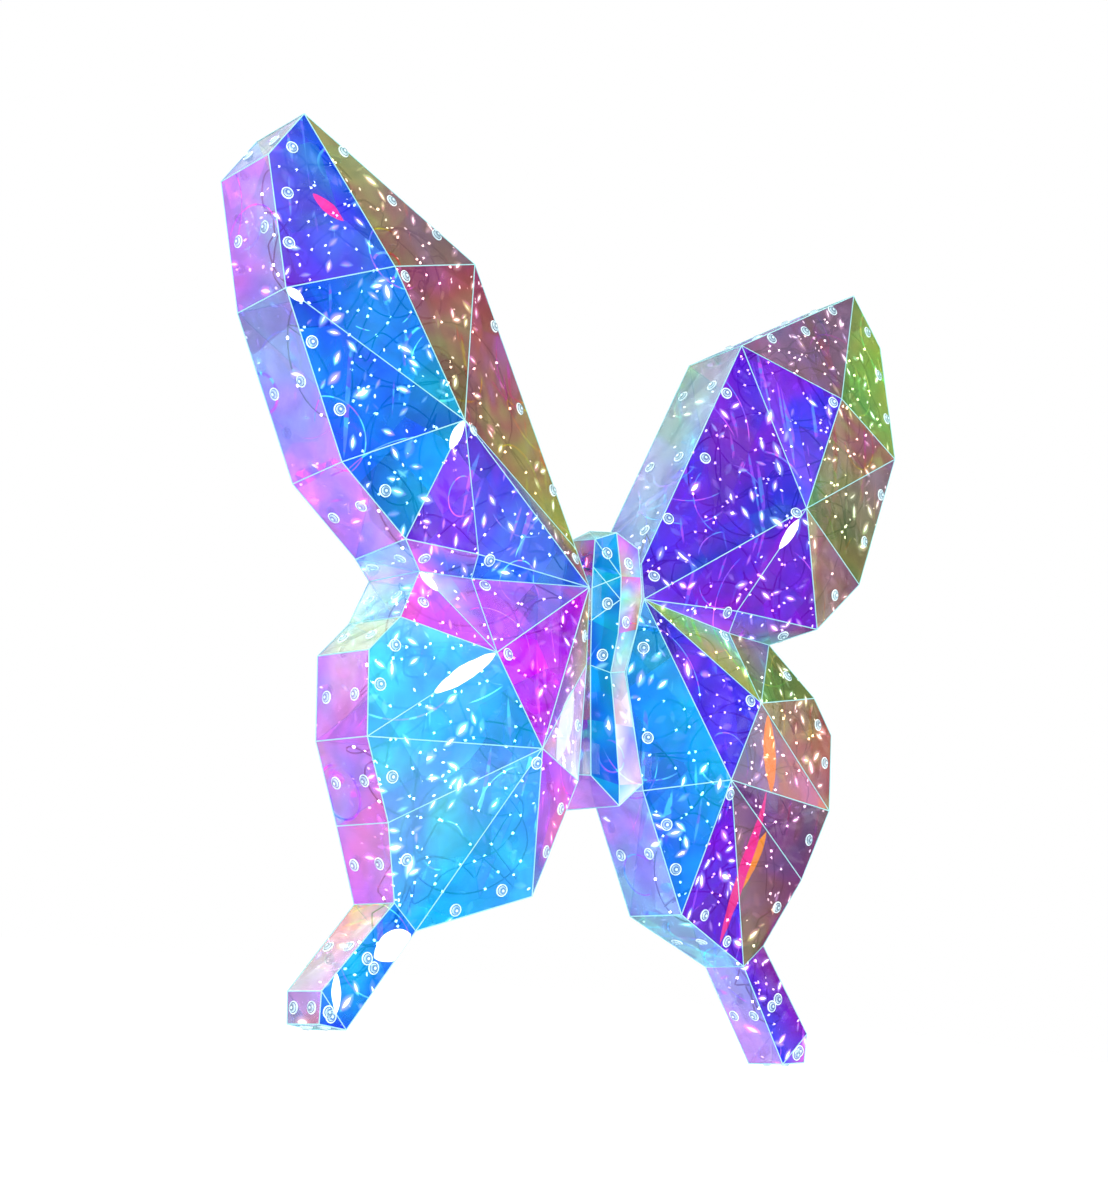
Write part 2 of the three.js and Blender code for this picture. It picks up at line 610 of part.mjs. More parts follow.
function rearParts() {
  const through = [bodyBackY - 1, plateRearY + 1];
  const window = box([-caseHalf - windowGap, through[0], caseBottom - windowGap],
    [caseHalf + windowGap, through[1], caseTop + windowGap]);
  const slotHalf = knobHalf + windowGap + switchTravel / 2;
  const slotRise = knobRise + windowGap;
  const slot = box([-slotHalf, through[0], switchZ - slotRise], [slotHalf, through[1], switchZ + slotRise]);
  const plate = cut(plateBlank(), window, slot);
  const flangeRear = bodyBackY;
  const tub = join(
    box([-caseHalf, caseFrontY, caseBottom], [caseHalf, caseRearY, caseTop]),
    box([-caseHalf - flangeReach, flangeRear - 1.2, caseBottom - flangeReach],
      [caseHalf + flangeReach, flangeRear, caseTop + flangeReach]),
  );
  const cavity = box([-cavityHalf, caseFrontY + caseWall, caseBottom + caseWall],
    [cavityHalf, caseRearY + 1, caseTop - caseWall]);
  const lid = box([-caseHalf, plateRearY - lidThickness, caseBottom], [caseHalf, plateRearY, caseTop]);
  const made = [
    meshOf("back_plate", plate, shellPlastic),
    meshOf("battery_case", cut(tub, cavity), whitePlastic),
    meshOf("battery_lid", lid, whitePlastic),
  ];
  const cellY = caseFrontY + caseWall + cavityDepth / 2;
  const cellZ = (caseTop + caseBottom) / 2;
  for (const [i, x] of [-cellRadius - 0.25, cellRadius + 0.25].entries()) {
    const cell = new THREE.CylinderGeometry(cellRadius, cellRadius, cellLength, 24).rotateX(Math.PI / 2);
    made.push(meshOf(`battery_cell_${i + 1}`, cell.translate(x, cellY, cellZ), cellSkin));
  }
  const contactHalf = cavityHalf - seamGap;
  const inEnd = caseWall + seamGap;
  const ends = { upper: caseTop - inEnd - contactThickness, lower: caseBottom + inEnd };
  for (const [name, z] of Object.entries(ends)) {
    const contact = box([-contactHalf, cellY - 5, z], [contactHalf, cellY + 5, z + contactThickness]);
    made.push(meshOf(`${name}_contact_plate`, contact, nickel));
  }
  const knobY = bodyBackY - knobFlange;
  const knobX = -switchTravel / 2;
  const [footHalf, footRise] = [knobHalf + 2.4, knobRise + 1.6];
  const knob = join(
    box([knobX - knobHalf, knobY, switchZ - knobRise],
      [knobX + knobHalf, plateRearY - 0.4, switchZ + knobRise]),
    box([knobX - footHalf, knobY, switchZ - footRise],
      [knobX + footHalf, knobY + knobFlange, switchZ + footRise]),
  );
  const switchFront = knobY - seamGap - switchDepth;
  const boardFront = switchFront - seamGap - boardThickness;
  made.push(meshOf("switch_knob", knob, darkPlastic));
  made.push(meshOf("switch_body",
    box([-8, switchFront, switchZ - 4.5], [8, knobY - seamGap, switchZ + 4.5]), darkPlastic));
  made.push(meshOf("driver_board",
    box([-12, boardFront, switchZ - 8], [12, boardFront + boardThickness, switchZ + 9]), boardGreen));
  const feedY = boardFront - seamGap - wireRadius;
  const feedRight = [[12, feedY - 4, switchZ], [rootX - 8, feedPort.y, feedPort.z],
    [rootX - 1.5, feedPort.y, feedPort.z]];
  const feedLeft = feedRight.map(([x, y, z]) => [-x, y, z]).reverse();
  const feedRoute = [...feedLeft, [0, feedY, switchZ], ...feedRight];
  const feed = wire(feedRoute.map((place) => new THREE.Vector3(...place)));
  made.push(meshOf("feed_wire", feed, wireClear));
  return made;
}

// ---- Assembly ----
const assembly = new THREE.Group();
assembly.position.set(0, -plateRearY, -plateCentreZ);
assembly.add(wing("right", 1), wing("left", -1));
assembly.add(...bodyFront());
assembly.add(meshOf("body_left_panel", sidePanel(-1), film.clear));
assembly.add(meshOf("body_right_panel", sidePanel(1), film.clear));
assembly.add(meshOf("body_crown", endCap(0, { y: 10, z: crownPeakZ }, crownPeakZ + 2, 1), film.clear));
assembly.add(meshOf("body_keel", endCap(bodyRows.length - 1, hipTip, hipTip.z - 9, -1), film.orchid));
for (const [word, side] of [["left", -1], ["right", 1]]) {
  assembly.add(hingeTab(`${word}_upper_hinge_tab`, side, [14, 0, -12, -26]));
  assembly.add(hingeTab(`${word}_lower_hinge_tab`, side, [hipZ + 30, hipZ + 2]));
}
assembly.add(...rearParts());

const fairyWings = new THREE.Group();
fairyWings.add(assembly);
export default fairyWings;
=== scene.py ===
"""Light-up butterfly wings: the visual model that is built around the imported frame.

Metres. +Z up, -Y is the decorated front, +X the right wing as the front shows it.
"""

import bpy
import numpy as np
from mathutils import Matrix, Vector


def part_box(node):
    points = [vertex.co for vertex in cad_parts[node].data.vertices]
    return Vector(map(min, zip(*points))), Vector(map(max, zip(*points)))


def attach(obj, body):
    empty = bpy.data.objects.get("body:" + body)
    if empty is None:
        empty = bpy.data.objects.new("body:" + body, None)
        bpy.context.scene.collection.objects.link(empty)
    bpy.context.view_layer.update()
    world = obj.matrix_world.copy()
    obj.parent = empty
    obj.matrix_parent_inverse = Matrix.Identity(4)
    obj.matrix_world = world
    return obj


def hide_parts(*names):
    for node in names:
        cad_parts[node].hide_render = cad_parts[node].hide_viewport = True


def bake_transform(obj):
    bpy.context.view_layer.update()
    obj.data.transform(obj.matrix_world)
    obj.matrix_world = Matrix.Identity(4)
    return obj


bl_info = {
    "name": "Light-up butterfly wings",
    "version": (1, 0, 0),
    "blender": (4, 5, 0),
    "location": "3D View > Sidebar > Wings",
    "description": "Folded film wings with strings of lights, snap rivets, body and battery fittings",
    "category": "Add Mesh",
}

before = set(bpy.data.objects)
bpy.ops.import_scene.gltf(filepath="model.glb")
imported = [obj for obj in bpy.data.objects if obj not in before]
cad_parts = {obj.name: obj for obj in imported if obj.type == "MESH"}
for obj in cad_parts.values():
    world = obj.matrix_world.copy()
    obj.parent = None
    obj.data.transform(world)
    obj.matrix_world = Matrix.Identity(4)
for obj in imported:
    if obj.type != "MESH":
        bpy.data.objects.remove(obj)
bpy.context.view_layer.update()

MM = 0.001
SIDES = {"right": 1.0, "left": -1.0}
ROOT = np.array([0.0, -50.0, 69.7])  # middle of the line between the two wing roots, mm
ROOT_X = 35.5
AXIS_SLOPE = 0.16  # how far the hinge line leans back for its height
SHELL_DEPTH = 70.0
REAR_RELIEF = 12.0
FOLD_TURN = 6  # sides of a fold bead

# ---- The folded wing: fold points as (out from the root, forward or back, up from the root), mm ----
FOLDS = {
    "tip": (329, 84, 374), "f2": (368, 75, 326), "f3": (362, 32, 204), "f4": (299, 5, 62),
    "f5": (230, -9, 6), "notch": (190, 16, -16), "f7": (258, 18, 246), "f8": (187, -18, 120),
    "f9": (141, 51, 278), "f10": (132, 7, 9), "f11": (131, 14, -13), "shoulder": (7, 17, 35),
    "root": (0, 0, 0), "h1": (230, -15, -63), "h2": (134, -37, -80), "h3": (85, -57, -159),
    "h4": (260, -15, -96), "h5": (258, -25, -171), "h6": (226, -28, -242), "h7": (197, -14, -310),
    "h8": (171, -16, -332), "h9": (59, -37, -290), "waist": (-10, 2.6, -71), "h10": (6, -21.8, -180),
    "t1": (268, -18, -391), "t2": (267, -19, -419), "t3": (237, -19, -422),
}
SEAM_POINTS = ("notch", "f11", "root")
DEPTH_SHARES = {"h7": 0.78, "h8": 0.74, "t1": 0.66, "t2": 0.62, "t3": 0.66}
FORE_RIM = "tip f2 f3, tip f3 f9, f9 f3 f4, f9 f4 root, root f4 f5, root f5 notch"
HIND_RIM = "root notch h1, root h1 h10, h10 h1 h5, h10 h5 h9, h9 h5 h6, h9 h6 h8"

FRONT_SHEETS = {
    "forewing_outer_sheet": "tip f2 f3 f7, f3 f7 f8, f3 f8 f4, f4 f8 f5, f5 f8 f10, f8 root f10",
    "forewing_inner_sheet": "tip f7 f9, f7 f9 f8, f9 f8 shoulder, shoulder f8 root",
    "forewing_lower_sheet": "f5 f10 f11 notch, f10 root f11",
    "hindwing_upper_sheet": "notch h1 h2, notch f11 h2, f11 root h2",
    "hindwing_outer_sheet": "h1 h4 h5 h2, h5 h2 h3, h5 h3 h6",
    "hindwing_inner_sheet": "root h2 h3, root h3 waist, waist h3 h10, h3 h9 h10",
    "hindwing_lower_sheet": "h6 h3 h8 h7, h3 h8 h9",
    "tail_front_sheet": "h7 t1 t3 h8, t1 t2 t3",
}
FORE_FACES = ", ".join(FRONT_SHEETS[f"forewing_{part}_sheet"] for part in ("outer", "inner", "lower"))
HIND_FACES = ", ".join(
    FRONT_SHEETS[f"hindwing_{part}_sheet"] for part in ("upper", "outer", "inner", "lower"))
WALLS = {
    "forewing_outer_wall": "tip f2 f3 f4 f5 notch",
    "forewing_inner_wall": "shoulder f9 tip",
    "hindwing_outer_wall": "notch h1 h4 h5 h6 h7",
    "hindwing_inner_wall": "h8 h9 h10 waist",
    "tail_tray": "h7 t1 t2 t3 h8",
}

# ---- Film colours: one letter for each corner of each panel ----
PALETTE = {
    "A": "0078e0", "B": "2a54e0", "b": "3c74ec", "C": "00b0e6", "L": "62d8f4", "X": "9ceefa",
    "F": "a0dcfa", "V": "7036dc", "v": "4440cc", "Z": "7a3ae8", "D": "8024d0", "c": "56baf2",
    "K": "7478f2", "k": "9ca4f6", "M": "d020ea", "m": "9a2cb0", "H": "f070ec", "P": "f29cec",
    "O": "cc72ee", "I": "c49af0", "S": "9498d0", "N": "ac5c84", "R": "b04890", "U": "8c4c8c",
    "Q": "967c92", "T": "a88c78", "t": "b08a64", "s": "dc9c90", "G": "a8bc58", "g": "8cac68",
    "E": "8c9858", "Y": "ecd088", "y": "dcdcb8", "J": "a4d8c8", "j": "8cb8c4", "p": "e2c6de",
    "W": "f2f6fa", "w": "e4ecf4",
}
TINTS = {
    "left": {
        "forewing_outer_sheet": "AKVb AAC AAA ACC ZZZ VbK",
        "forewing_inner_sheet": "TTQ NNE RTG GVT",
        "forewing_lower_sheet": "IIAP bbb",
        "hindwing_upper_sheet": "PHO WIO OIO",
        "hindwing_outer_sheet": "XLLc LcC LcX",
        "hindwing_inner_sheet": "MMM tOy ppW OSP",
        "hindwing_lower_sheet": "XLCL cCc",
        "tail_front_sheet": "CCAA CAB",
        "forewing_outer_wall": "jjjj ISOI SIIS IPKI FFwF",
        "forewing_inner_wall": "GNTN gTTg",
        "hindwing_outer_wall": "FFJW yyyJ PHOI HHIP PIOI",
        "hindwing_inner_wall": "CCCC CNCC wpMK",
        "tail_tray": "ypyY SNQU jJJj bKJJ",
    },
    "right": {
        "forewing_outer_sheet": "gGgg TTg QEE UTT DvD DZD",
        "forewing_inner_sheet": "QQQ VDK DvV Vvv",
        "forewing_lower_sheet": "UKSJ ZKO",
        "hindwing_upper_sheet": "EEg STE JGG",
        "hindwing_outer_sheet": "TtTT sQQ QUU",
        "hindwing_inner_sheet": "vZV CCC CCA CAA",
        "hindwing_lower_sheet": "UQTU DZD",
        "tail_front_sheet": "mDbZ OIb",
        "forewing_outer_wall": "QgUQ GgTg QETT SbUv SJNJ",
        "forewing_inner_wall": "SjgI jJWJ",
        "hindwing_outer_wall": "gEgS TttT tttt QUUQ UUSQ",
        "hindwing_inner_wall": "FFjF kkkk FFCC",
        "tail_tray": "mmbD OIbb SFyj kkII",
    },
}
REAR_TINTS = {"left": "FkIPkFyIJkFP", "right": "kIPFkJIyFkIk"}

# ---- Painted reflections: long bright streaks painted on the front film ----
# Each is a wing, the painted reflection's two ends as (fold, share of the fold), its half width in mm and its
# colour.
PAINTED_REFLECTIONS = [
    ("left", ("h5 h2", 0.5), ("h5 h2", 1.0), 7, "ffffff"),
    ("left", ("f8 f5", 0.0), ("f8 f5", 0.25), 6, "ffffff"),
    ("left", ("f2 f7", 0.35), ("f2 f7", 0.6), 6, "f03cb4"),
    ("left", ("f3 f8", 0.0), ("f3 f8", 0.1), 5, "ffffff"),
    ("left", ("h8 t1", 0.05), ("h8 t1", 0.45), 13, "ffffff"),
    ("left", ("h7 t1", 0.8), ("t1 t3", 0.6), 5, "ffffff"),
    ("left", ("notch h2", 0.0), ("notch h2", 0.25), 6, "ffffff"),
    ("left", ("waist h3", 0.3), ("h10 h3", 0.6), 13, "f4fbff"),
    ("right", ("f8 f10", 0.4), ("f8 f10", 0.1), 6, "ffffff"),
    ("right", ("h2 h5", 0.1), ("h3 h5", 0.4), 11, "f08c3c"),
    ("right", ("h3 h8", 0.6), ("h3 h6", 0.5), 8, "f0a03c"),
    ("right", ("h3 h5", 0.35), ("h9 h8", 0.6), 8, "ec3c98"),
]

# ---- Snap rivets, mm: spread evenly along the folds they hold ----
SHEET_RIVET_PITCH = 80
WALL_RIVET_PITCH = 110
RIVET_INSET = 14
BARE_FOLD = 25  # a rim fold shorter than this carries none
WALL_ROWS = (0.25, 0.8)  # shares of the way from a wall's front fold to its rear fold

# ---- Strings of lights: (out, up, share of the way from front to rear), mm from the wing root ----
LIGHT_ROUTES = {
    "forewing": [
        (4, 16, 0.35), (40, 44, 0.5), (92, 40, 0.35), (148, 28, 0.5), (205, 42, 0.4),
        (236, 84, 0.5), (196, 112, 0.25), (132, 96, 0.5), (112, 140, 0.6), (150, 186, 0.4),
        (212, 168, 0.25), (270, 122, 0.1), (318, 168, 0.55), (284, 214, 0.3), (214, 226, 0.35),
        (168, 262, 0.5), (222, 292, 0.45), (290, 262, 0.3), (338, 244, 0.5), (334, 300, 0.45),
        (280, 316, 0.5), (318, 348, 0.5),
    ],
    "hindwing": [
        (14, -20, 0.35), (64, -36, 0.5), (128, -30, 0.4), (186, -52, 0.5), (232, -92, 0.5),
        (212, -128, 0.3), (150, -102, 0.3), (88, -92, 0.35), (44, -126, 0.5), (76, -176, 0.3),
        (142, -160, 0.25), (206, -150, 0.1), (228, -204, 0.5), (176, -222, 0.4), (112, -206, 0.3),
        (70, -246, 0.5), (124, -278, 0.5), (182, -262, 0.45), (186, -300, 0.5), (196, -340, 0.5),
        (224, -374, 0.5),
    ],
}
STRANDS = 4  # strings shown in each half wing, each on its own variation of the route
STRAND_LOOPS = (1.0, 1.9, 2.6, 3.3)  # size of a strand's loops
STRAND_TURNS = (1, -1.13, 0.93, -0.87)  # direction and pace of its loops
WIRE_STEP = 0.004  # between two points of a wire, metres
WIRE_ROOM = 0.0035  # the least that a wire keeps from the film, metres

# ---- Body: rows as (half width, edge y, edge z, ridge y, ridge z), mm from the root line ----
BODY_ROWS = [
    (28, 8, 46.55, 10, 57.55), (31, 3, 20, -3, 16), (32, 0, 0, -6, -6), (29, -1, -30, -8, -38),
    (22, 1, -71.05, -4, -75.05), (27.5, -14, -122.5, -18, -122.5), (33, -29, -173.95, -33, -178.95),
]
HIP_TIP = (0, -36, -197.95)
BODY_BACK = 47.2
REAR_SHARE = 0.8
BODY_RIVETS = [(-14, 36), (-14, -12), (-12, -60), (12, 30), (10, -26)]
BODY_LEFT_TINTS = "ACCA CCAC CACC ACCA CCCA CCAA CCA"
BODY_RIGHT_TINTS = "IPyF PsFy yFPs FIwW WFpw FWwp WFw"


# ---- Property groups: sizes and finishes a user would change ----
class FilmSettings(bpy.types.PropertyGroup):
    thickness: bpy.props.FloatProperty(
        name="Film thickness", description="Thickness of the shown film", default=0.0005, unit="LENGTH")
    fold_radius: bpy.props.FloatProperty(
        name="Fold bead", description="Radius of the welded line along each fold", default=0.00055,
        unit="LENGTH")
    sag: bpy.props.FloatProperty(
        name="Panel sag", description="How far a panel's middle bows", default=0.0012, unit="LENGTH")
    opacity: bpy.props.FloatProperty(
        name="Front opacity", description="Share of the light a front panel stops", default=0.36,
        subtype="FACTOR")
    rear_opacity: bpy.props.FloatProperty(
        name="Rear opacity", description="Share of the light a rear panel stops", default=0.2,
        subtype="FACTOR")
    roughness: bpy.props.FloatProperty(
        name="Film roughness", description="Roughness of the film's gloss", default=0.12, subtype="FACTOR")
    fineness: bpy.props.IntProperty(
        name="Panel fineness", description="Cells along each side of a panel", default=18)


class LightSettings(bpy.types.PropertyGroup):
    wire_radius: bpy.props.FloatProperty(
        name="Wire radius", description="Radius of the light string's wire", default=0.0008, unit="LENGTH")
    bulb_radius: bpy.props.FloatProperty(
        name="Bulb radius", description="Radius of a resin drop", default=0.0011, unit="LENGTH")
    spacing: bpy.props.FloatProperty(
        name="Bulb spacing", description="Wire between two bulbs", default=0.044, unit="LENGTH")
    curl: bpy.props.FloatProperty(
        name="Wire curl", description="Radius of the loops the wire lies in", default=0.013, unit="LENGTH")
    curl_length: bpy.props.FloatProperty(
        name="Curl length", description="Wire run between two loops", default=0.085, unit="LENGTH")
    glow: bpy.props.FloatProperty(
        name="Bulb glow", description="Brightness of a lit bulb", default=18.0)


class RivetSettings(bpy.types.PropertyGroup):
    head: bpy.props.FloatProperty(
        name="Rivet head", description="Radius of the snap rivet's flange", default=0.0058, unit="LENGTH")
    cap: bpy.props.FloatProperty(
        name="Rivet cap", description="Radius of the snap rivet's raised cap", default=0.0039, unit="LENGTH")
    rise: bpy.props.FloatProperty(
        name="Rivet rise", description="Height of the cap over the film", default=0.0028, unit="LENGTH")


class StageSettings(bpy.types.PropertyGroup):
    floor_height: bpy.props.FloatProperty(
        name="Floor height", description="Height of the floor", default=-1.1, unit="LENGTH")
    world: bpy.props.FloatProperty(
        name="Surround light", description="Strength of the light from all round", default=0.85)
    mirror: bpy.props.FloatProperty(
        name="Mirrored surround", description="Strength of the surround that glossy film mirrors",
        default=0.18)
    key: bpy.props.FloatProperty(
        name="Key light", description="Power of the large soft key light", default=38.0, unit="POWER")
    fill: bpy.props.FloatProperty(
        name="Fill light", description="Power of the soft fill light", default=16.0, unit="POWER")


GROUPS = {"film": FilmSettings, "lights": LightSettings, "rivets": RivetSettings, "stage": StageSettings}


def settings(kind):
    return getattr(bpy.context.scene, f"wings_{kind}")


# ---- Meshes ----
def add_piece(name, body, vertices, faces, material, replaces=()):
    """A mesh object of the given arrays that rides on a body and stands for CAD nodes."""
    mesh = bpy.data.meshes.new(name)
    mesh.from_pydata(vertices, [], faces)
    mesh.materials.append(material)
    piece = bpy.data.objects.new(name, mesh)
    bpy.context.scene.collection.objects.link(piece)
    if body:
        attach(piece, body)
    if replaces:
        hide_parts(*replaces)
    return piece


def thicken(piece, thickness):
    made = piece.modifiers.new("thickness", "SOLIDIFY")
    made.thickness = thickness
    made.offset = -1.0


def paint(piece, tints):
    """Stores a linear colour for each face corner as the tint attribute."""
    layer = piece.data.attributes.new("tint", "FLOAT_COLOR", "CORNER")
    rgba = np.ones((len(tints), 4), np.float32)
    rgba[:, :3] = tints
    layer.data.foreach_set("color", rgba.ravel())


def linear(code):
    """Linear colour of a six-digit hexadecimal one: the usual curve, with a straight foot under 0.04."""
    srgb = np.array([int(code[i:i + 2], 16) for i in (0, 2, 4)]) / 255
    return np.where(srgb <= 0.04045, srgb / 12.92, ((srgb + 0.055) / 1.055) ** 2.4)


COLOURS = {letter: linear(code) for letter, code in PALETTE.items()}


def split_names(text):
    return [face.split() for face in text.split(",")]


def fan(items):
    return [(items[0], items[i], items[i + 1]) for i in range(1, len(items) - 1)]


def triangle_grid(n):
    """Weights of the points that divide each side of a triangle into n, and the small triangles between them.

    Point (i, j) is the first corner moved i/n towards the second and j/n towards the third."""
    i, j = np.meshgrid(np.arange(n + 1), np.arange(n + 1), indexing="ij")
    inside = i + j <= n
    index = np.full((n + 2, n + 2), -1)
    index[:-1, :-1][inside] = np.arange(inside.sum())
    weights = np.stack([n - i - j, i, j], -1)[inside] / n
    at, beside, above, across = index[:-1, :-1], index[1:, :-1], index[:-1, 1:], index[1:, 1:]
    lower = np.stack([at, beside, above], -1)[(i + j) < n]
    upper = np.stack([beside, across, above], -1)[(i + j) < n - 1]
    return weights, np.concatenate([lower, upper])


def ripple(points):
    """A smooth value between -1 and 1 over space: the mean of three crossed sine waves of unlike lengths."""
    x, y, z = points.T
    return (np.sin(31 * x + 17 * z) + np.sin(23 * z - 29 * y + 1.3) + np.sin(47 * x - 37 * z + 2.1)) / 3


def panels(corners, facets, letters, n, sag):
    """Points, triangles and corner colours of flat panels, each divided into a fine grid.

    A panel's point is its corners' mean by weight, moved along its normal by sag * 27uvw * ripple, which is
    nought along every side, so that neighbours stay joined. Its colour is the corners' colours by weight."""
    weights, small = triangle_grid(n)
    points, faces, tints = [], [], []
    bow = 27 * weights.prod(1)
    for names, inks in zip(facets, letters):
        for triple, ink in zip(fan(names), fan(inks)):
            corner = np.array([corners[name] for name in triple])
            normal = np.cross(corner[1] - corner[0], corner[2] - corner[0])
            normal /= np.linalg.norm(normal)
            flat = weights @ corner
            points.append(flat + normal * (sag * bow * ripple(flat))[:, None])
            faces.append(small + len(weights) * len(faces))
            colour = weights @ np.array([COLOURS[letter] for letter in ink])
            tints.append(colour[small.ravel()])
    points = np.concatenate(points)
    merged, where = np.unique(np.round(points, 7), axis=0, return_inverse=True)
    return merged, where.ravel()[np.concatenate(faces)], np.concatenate(tints)


def closed_rings(rings):
    """Closed solids from rings[solid, station, point]: each ring is joined to the next by quads and each end
    ring to its own middle by a fan. All turn the way that gives them a positive volume."""
    count, stations, around, _ = rings.shape
    ends = np.stack([rings[:, 0].mean(1), rings[:, -1].mean(1)], 1)
    points = np.concatenate([rings.reshape(count, stations * around, 3), ends], 1)
    row = np.arange(stations - 1)[:, None] * around
    here = np.arange(around)
    after = (here + 1) % around
    quads = np.stack(np.broadcast_arrays(
        row + here, row + after, row + around + after, row + around + here), -1)
    first, last = stations * around, (stations - 1) * around
    quads = quads.reshape(-1, 4)
    tops = np.stack([np.full(around, first), after, here], -1)
    bottoms = np.stack([np.full(around, first + 1), last + here, last + after], -1)
    triangles = np.concatenate([tops, bottoms, quads[:, [0, 1, 2]], quads[:, [0, 2, 3]]])
    a, b, c = (points[0][triangles[:, k]] - points[0].mean(0) for k in range(3))
    if np.einsum("ij,ij->", a, np.cross(b, c)) < 0:
        quads, tops, bottoms = quads[:, ::-1], tops[:, ::-1], bottoms[:, ::-1]
    shift = (np.arange(count) * (stations * around + 2))[:, None, None]
    faces = (quads[None] + shift).reshape(-1, 4).tolist()
    faces += (np.concatenate([tops, bottoms])[None] + shift).reshape(-1, 3).tolist()
    return points.reshape(-1, 3), faces


def square_axes(direction):
    """Two unit vectors square to each direction and to each other."""
    helper = np.where(np.abs(direction[:, 1:2]) < 0.8, [[0.0, 1.0, 0.0]], [[1.0, 0.0, 0.0]])
    first = np.cross(direction, helper)
    first /= np.linalg.norm(first, axis=1, keepdims=True)
    return first, np.cross(direction, first)


def turned(places, directions, profile, around):
    """Solids of revolution: the profile's (radius, height) stations turned about an axis at each place."""
    first, second = square_axes(directions)
    angle = np.arange(around) * 2 * np.pi / around
    circle = np.cos(angle)[:, None, None] * first + np.sin(angle)[:, None, None] * second
    radius, height = np.array(profile).T
    rings = (places[:, None, None] + radius[None, :, None, None] * circle.transpose(1, 0, 2)[:, None]
             + height[None, :, None, None] * directions[:, None, None])
    return closed_rings(rings)


def rods(starts, ends, radius, around):
    """Round rods between pairs of points, with domed ends: stations on a quarter circle past each end."""
    along = ends - starts
    length = np.linalg.norm(along, axis=1, keepdims=True)
    along = along / length
    first, second = square_axes(along)
    dome = np.radians([20, 55, 90])
    reach = np.concatenate([-np.cos(dome), np.cos(dome[::-1])]) * radius
    width = np.concatenate([np.sin(dome), np.sin(dome[::-1])]) * radius
    far = np.array([0, 0, 0, 1, 1, 1])
    middle = (starts[:, None] + (length * far[None])[..., None] * along[:, None]
              + reach[None, :, None] * along[:, None])
    angle = np.arange(around) * 2 * np.pi / around
    circle = np.cos(angle)[:, None, None] * first + np.sin(angle)[:, None, None] * second
    rings = middle[:, :, None] + width[None, :, None, None] * circle.transpose(1, 0, 2)[:, None]
    return closed_rings(rings)


def smooth_path(points, step):
    """A curve through the points, as cubic pieces whose slope at a point is half the step between its
    neighbours, sampled evenly along its length."""
    held = np.concatenate([[2 * points[0] - points[1]], points, [2 * points[-1] - points[-2]]])
    p0, p1, p2, p3 = held[:-3, None], held[1:-2, None], held[2:-1, None], held[3:, None]
    t = np.linspace(0, 1, 24, endpoint=False)[None, :, None]
    curve = 0.5 * (2 * p1 + (p2 - p0) * t + (2 * p0 - 5 * p1 + 4 * p2 - p3) * t**2
                   + (3 * p1 - p0 - 3 * p2 + p3) * t**3)
    curve = np.concatenate([curve.reshape(-1, 3), points[-1:]])
    return even_path(curve, step)


def even_path(curve, step):
    gone = np.concatenate([[0], np.cumsum(np.linalg.norm(np.diff(curve, axis=0), axis=1))])
    stops = np.linspace(0, gone[-1], max(4, int(gone[-1] / step)))
    return np.stack([np.interp(stops, gone, axis) for axis in curve.T], -1)


def tube(path, radius, around):
    """A round tube along a path: at each point a circle square to the path."""
    along = np.gradient(path, axis=0)
    along /= np.linalg.norm(along, axis=1, keepdims=True)
    first, second = square_axes(along)
    angle = np.arange(around) * 2 * np.pi / around
    circle = np.cos(angle)[:, None, None] * first + np.sin(angle)[:, None, None] * second
    return closed_rings((path[:, None] + radius * circle.transpose(1, 0, 2))[None])


def joined(parts):
    """One point array and one face list from several."""
    points, faces, shift = [], [], 0
    for part_points, part_faces in parts:
        points.append(part_points)
        faces += [[corner + shift for corner in face] for face in part_faces]
        shift += len(part_points)
    return np.concatenate(points), faces


# ---- The wing's surfaces ----
def shares_over(corners, triples, x, z):
    """For each triangle and place, the three shares that the place has of the triangle seen along Y."""
    a, b, c = (np.array([corners[t[k]] for t in triples])[:, None] for k in range(3))

    def area(p, q, r):
        return (q[0] - p[0]) * (r[1] - p[1]) - (r[0] - p[0]) * (q[1] - p[1])

    seen = [(v[..., 0], v[..., 2]) for v in (a, b, c)]
    place = (x[None], z[None])
    whole = area(*seen)
    shares = np.stack([area(place, seen[1], seen[2]), area(seen[0], place, seen[2]),
                       area(seen[0], seen[1], place)]) / whole
    heights = shares[0] * a[..., 1] + shares[1] * b[..., 1] + shares[2] * c[..., 1]
    return shares, heights


def height_over(corners, text, x, z):
    """The y of a folded surface over places, and how far outside its outline each place lies (0 inside)."""
    triples = [triple for names in split_names(text) for triple in fan(names)]
    shares, heights = shares_over(corners, triples, x, z)
    outside = np.maximum(0, -shares.min(0))
    best = outside.argmin(0)
    places = np.arange(len(x))
    return heights[best, places], outside[best, places]


def wing_corners():
    """Fold points of the right wing in metres, front and rear (names ending in _r).

    A rear rim point is its front point moved back by the shell's depth, leaned in a little, and less towards
    the tail. The four rear ridge points stand the relief above the surface that the rear rim spans."""
    front = {name: np.array([ROOT_X + out, y, up], float) for name, (out, y, up) in FOLDS.items()}
    rear = {}
    for name, corner in front.items():
        lean = (0.0, -9.0) if name in SEAM_POINTS else (-2.0, -17.0) if name[0] in "f" or name in (
            "tip", "shoulder") else (1.0, -7.0)
        share = DEPTH_SHARES.get(name, 1.0)
        rear[name] = corner + share * np.array([lean[0], SHELL_DEPTH, lean[1]])
    for names, rim in ((("f7", "f8"), FORE_RIM), (("h2", "h3"), HIND_RIM)):
        for name in names:
            x, _, z = rear[name]
            rear[name][1] = height_over(rear, rim, np.array([x]), np.array([z]))[0][0] + REAR_RELIEF
    corners = {name: (corner + ROOT) * MM for name, corner in front.items()}
    corners.update({name + "_r": (corner + ROOT) * MM for name, corner in rear.items()})
    return corners


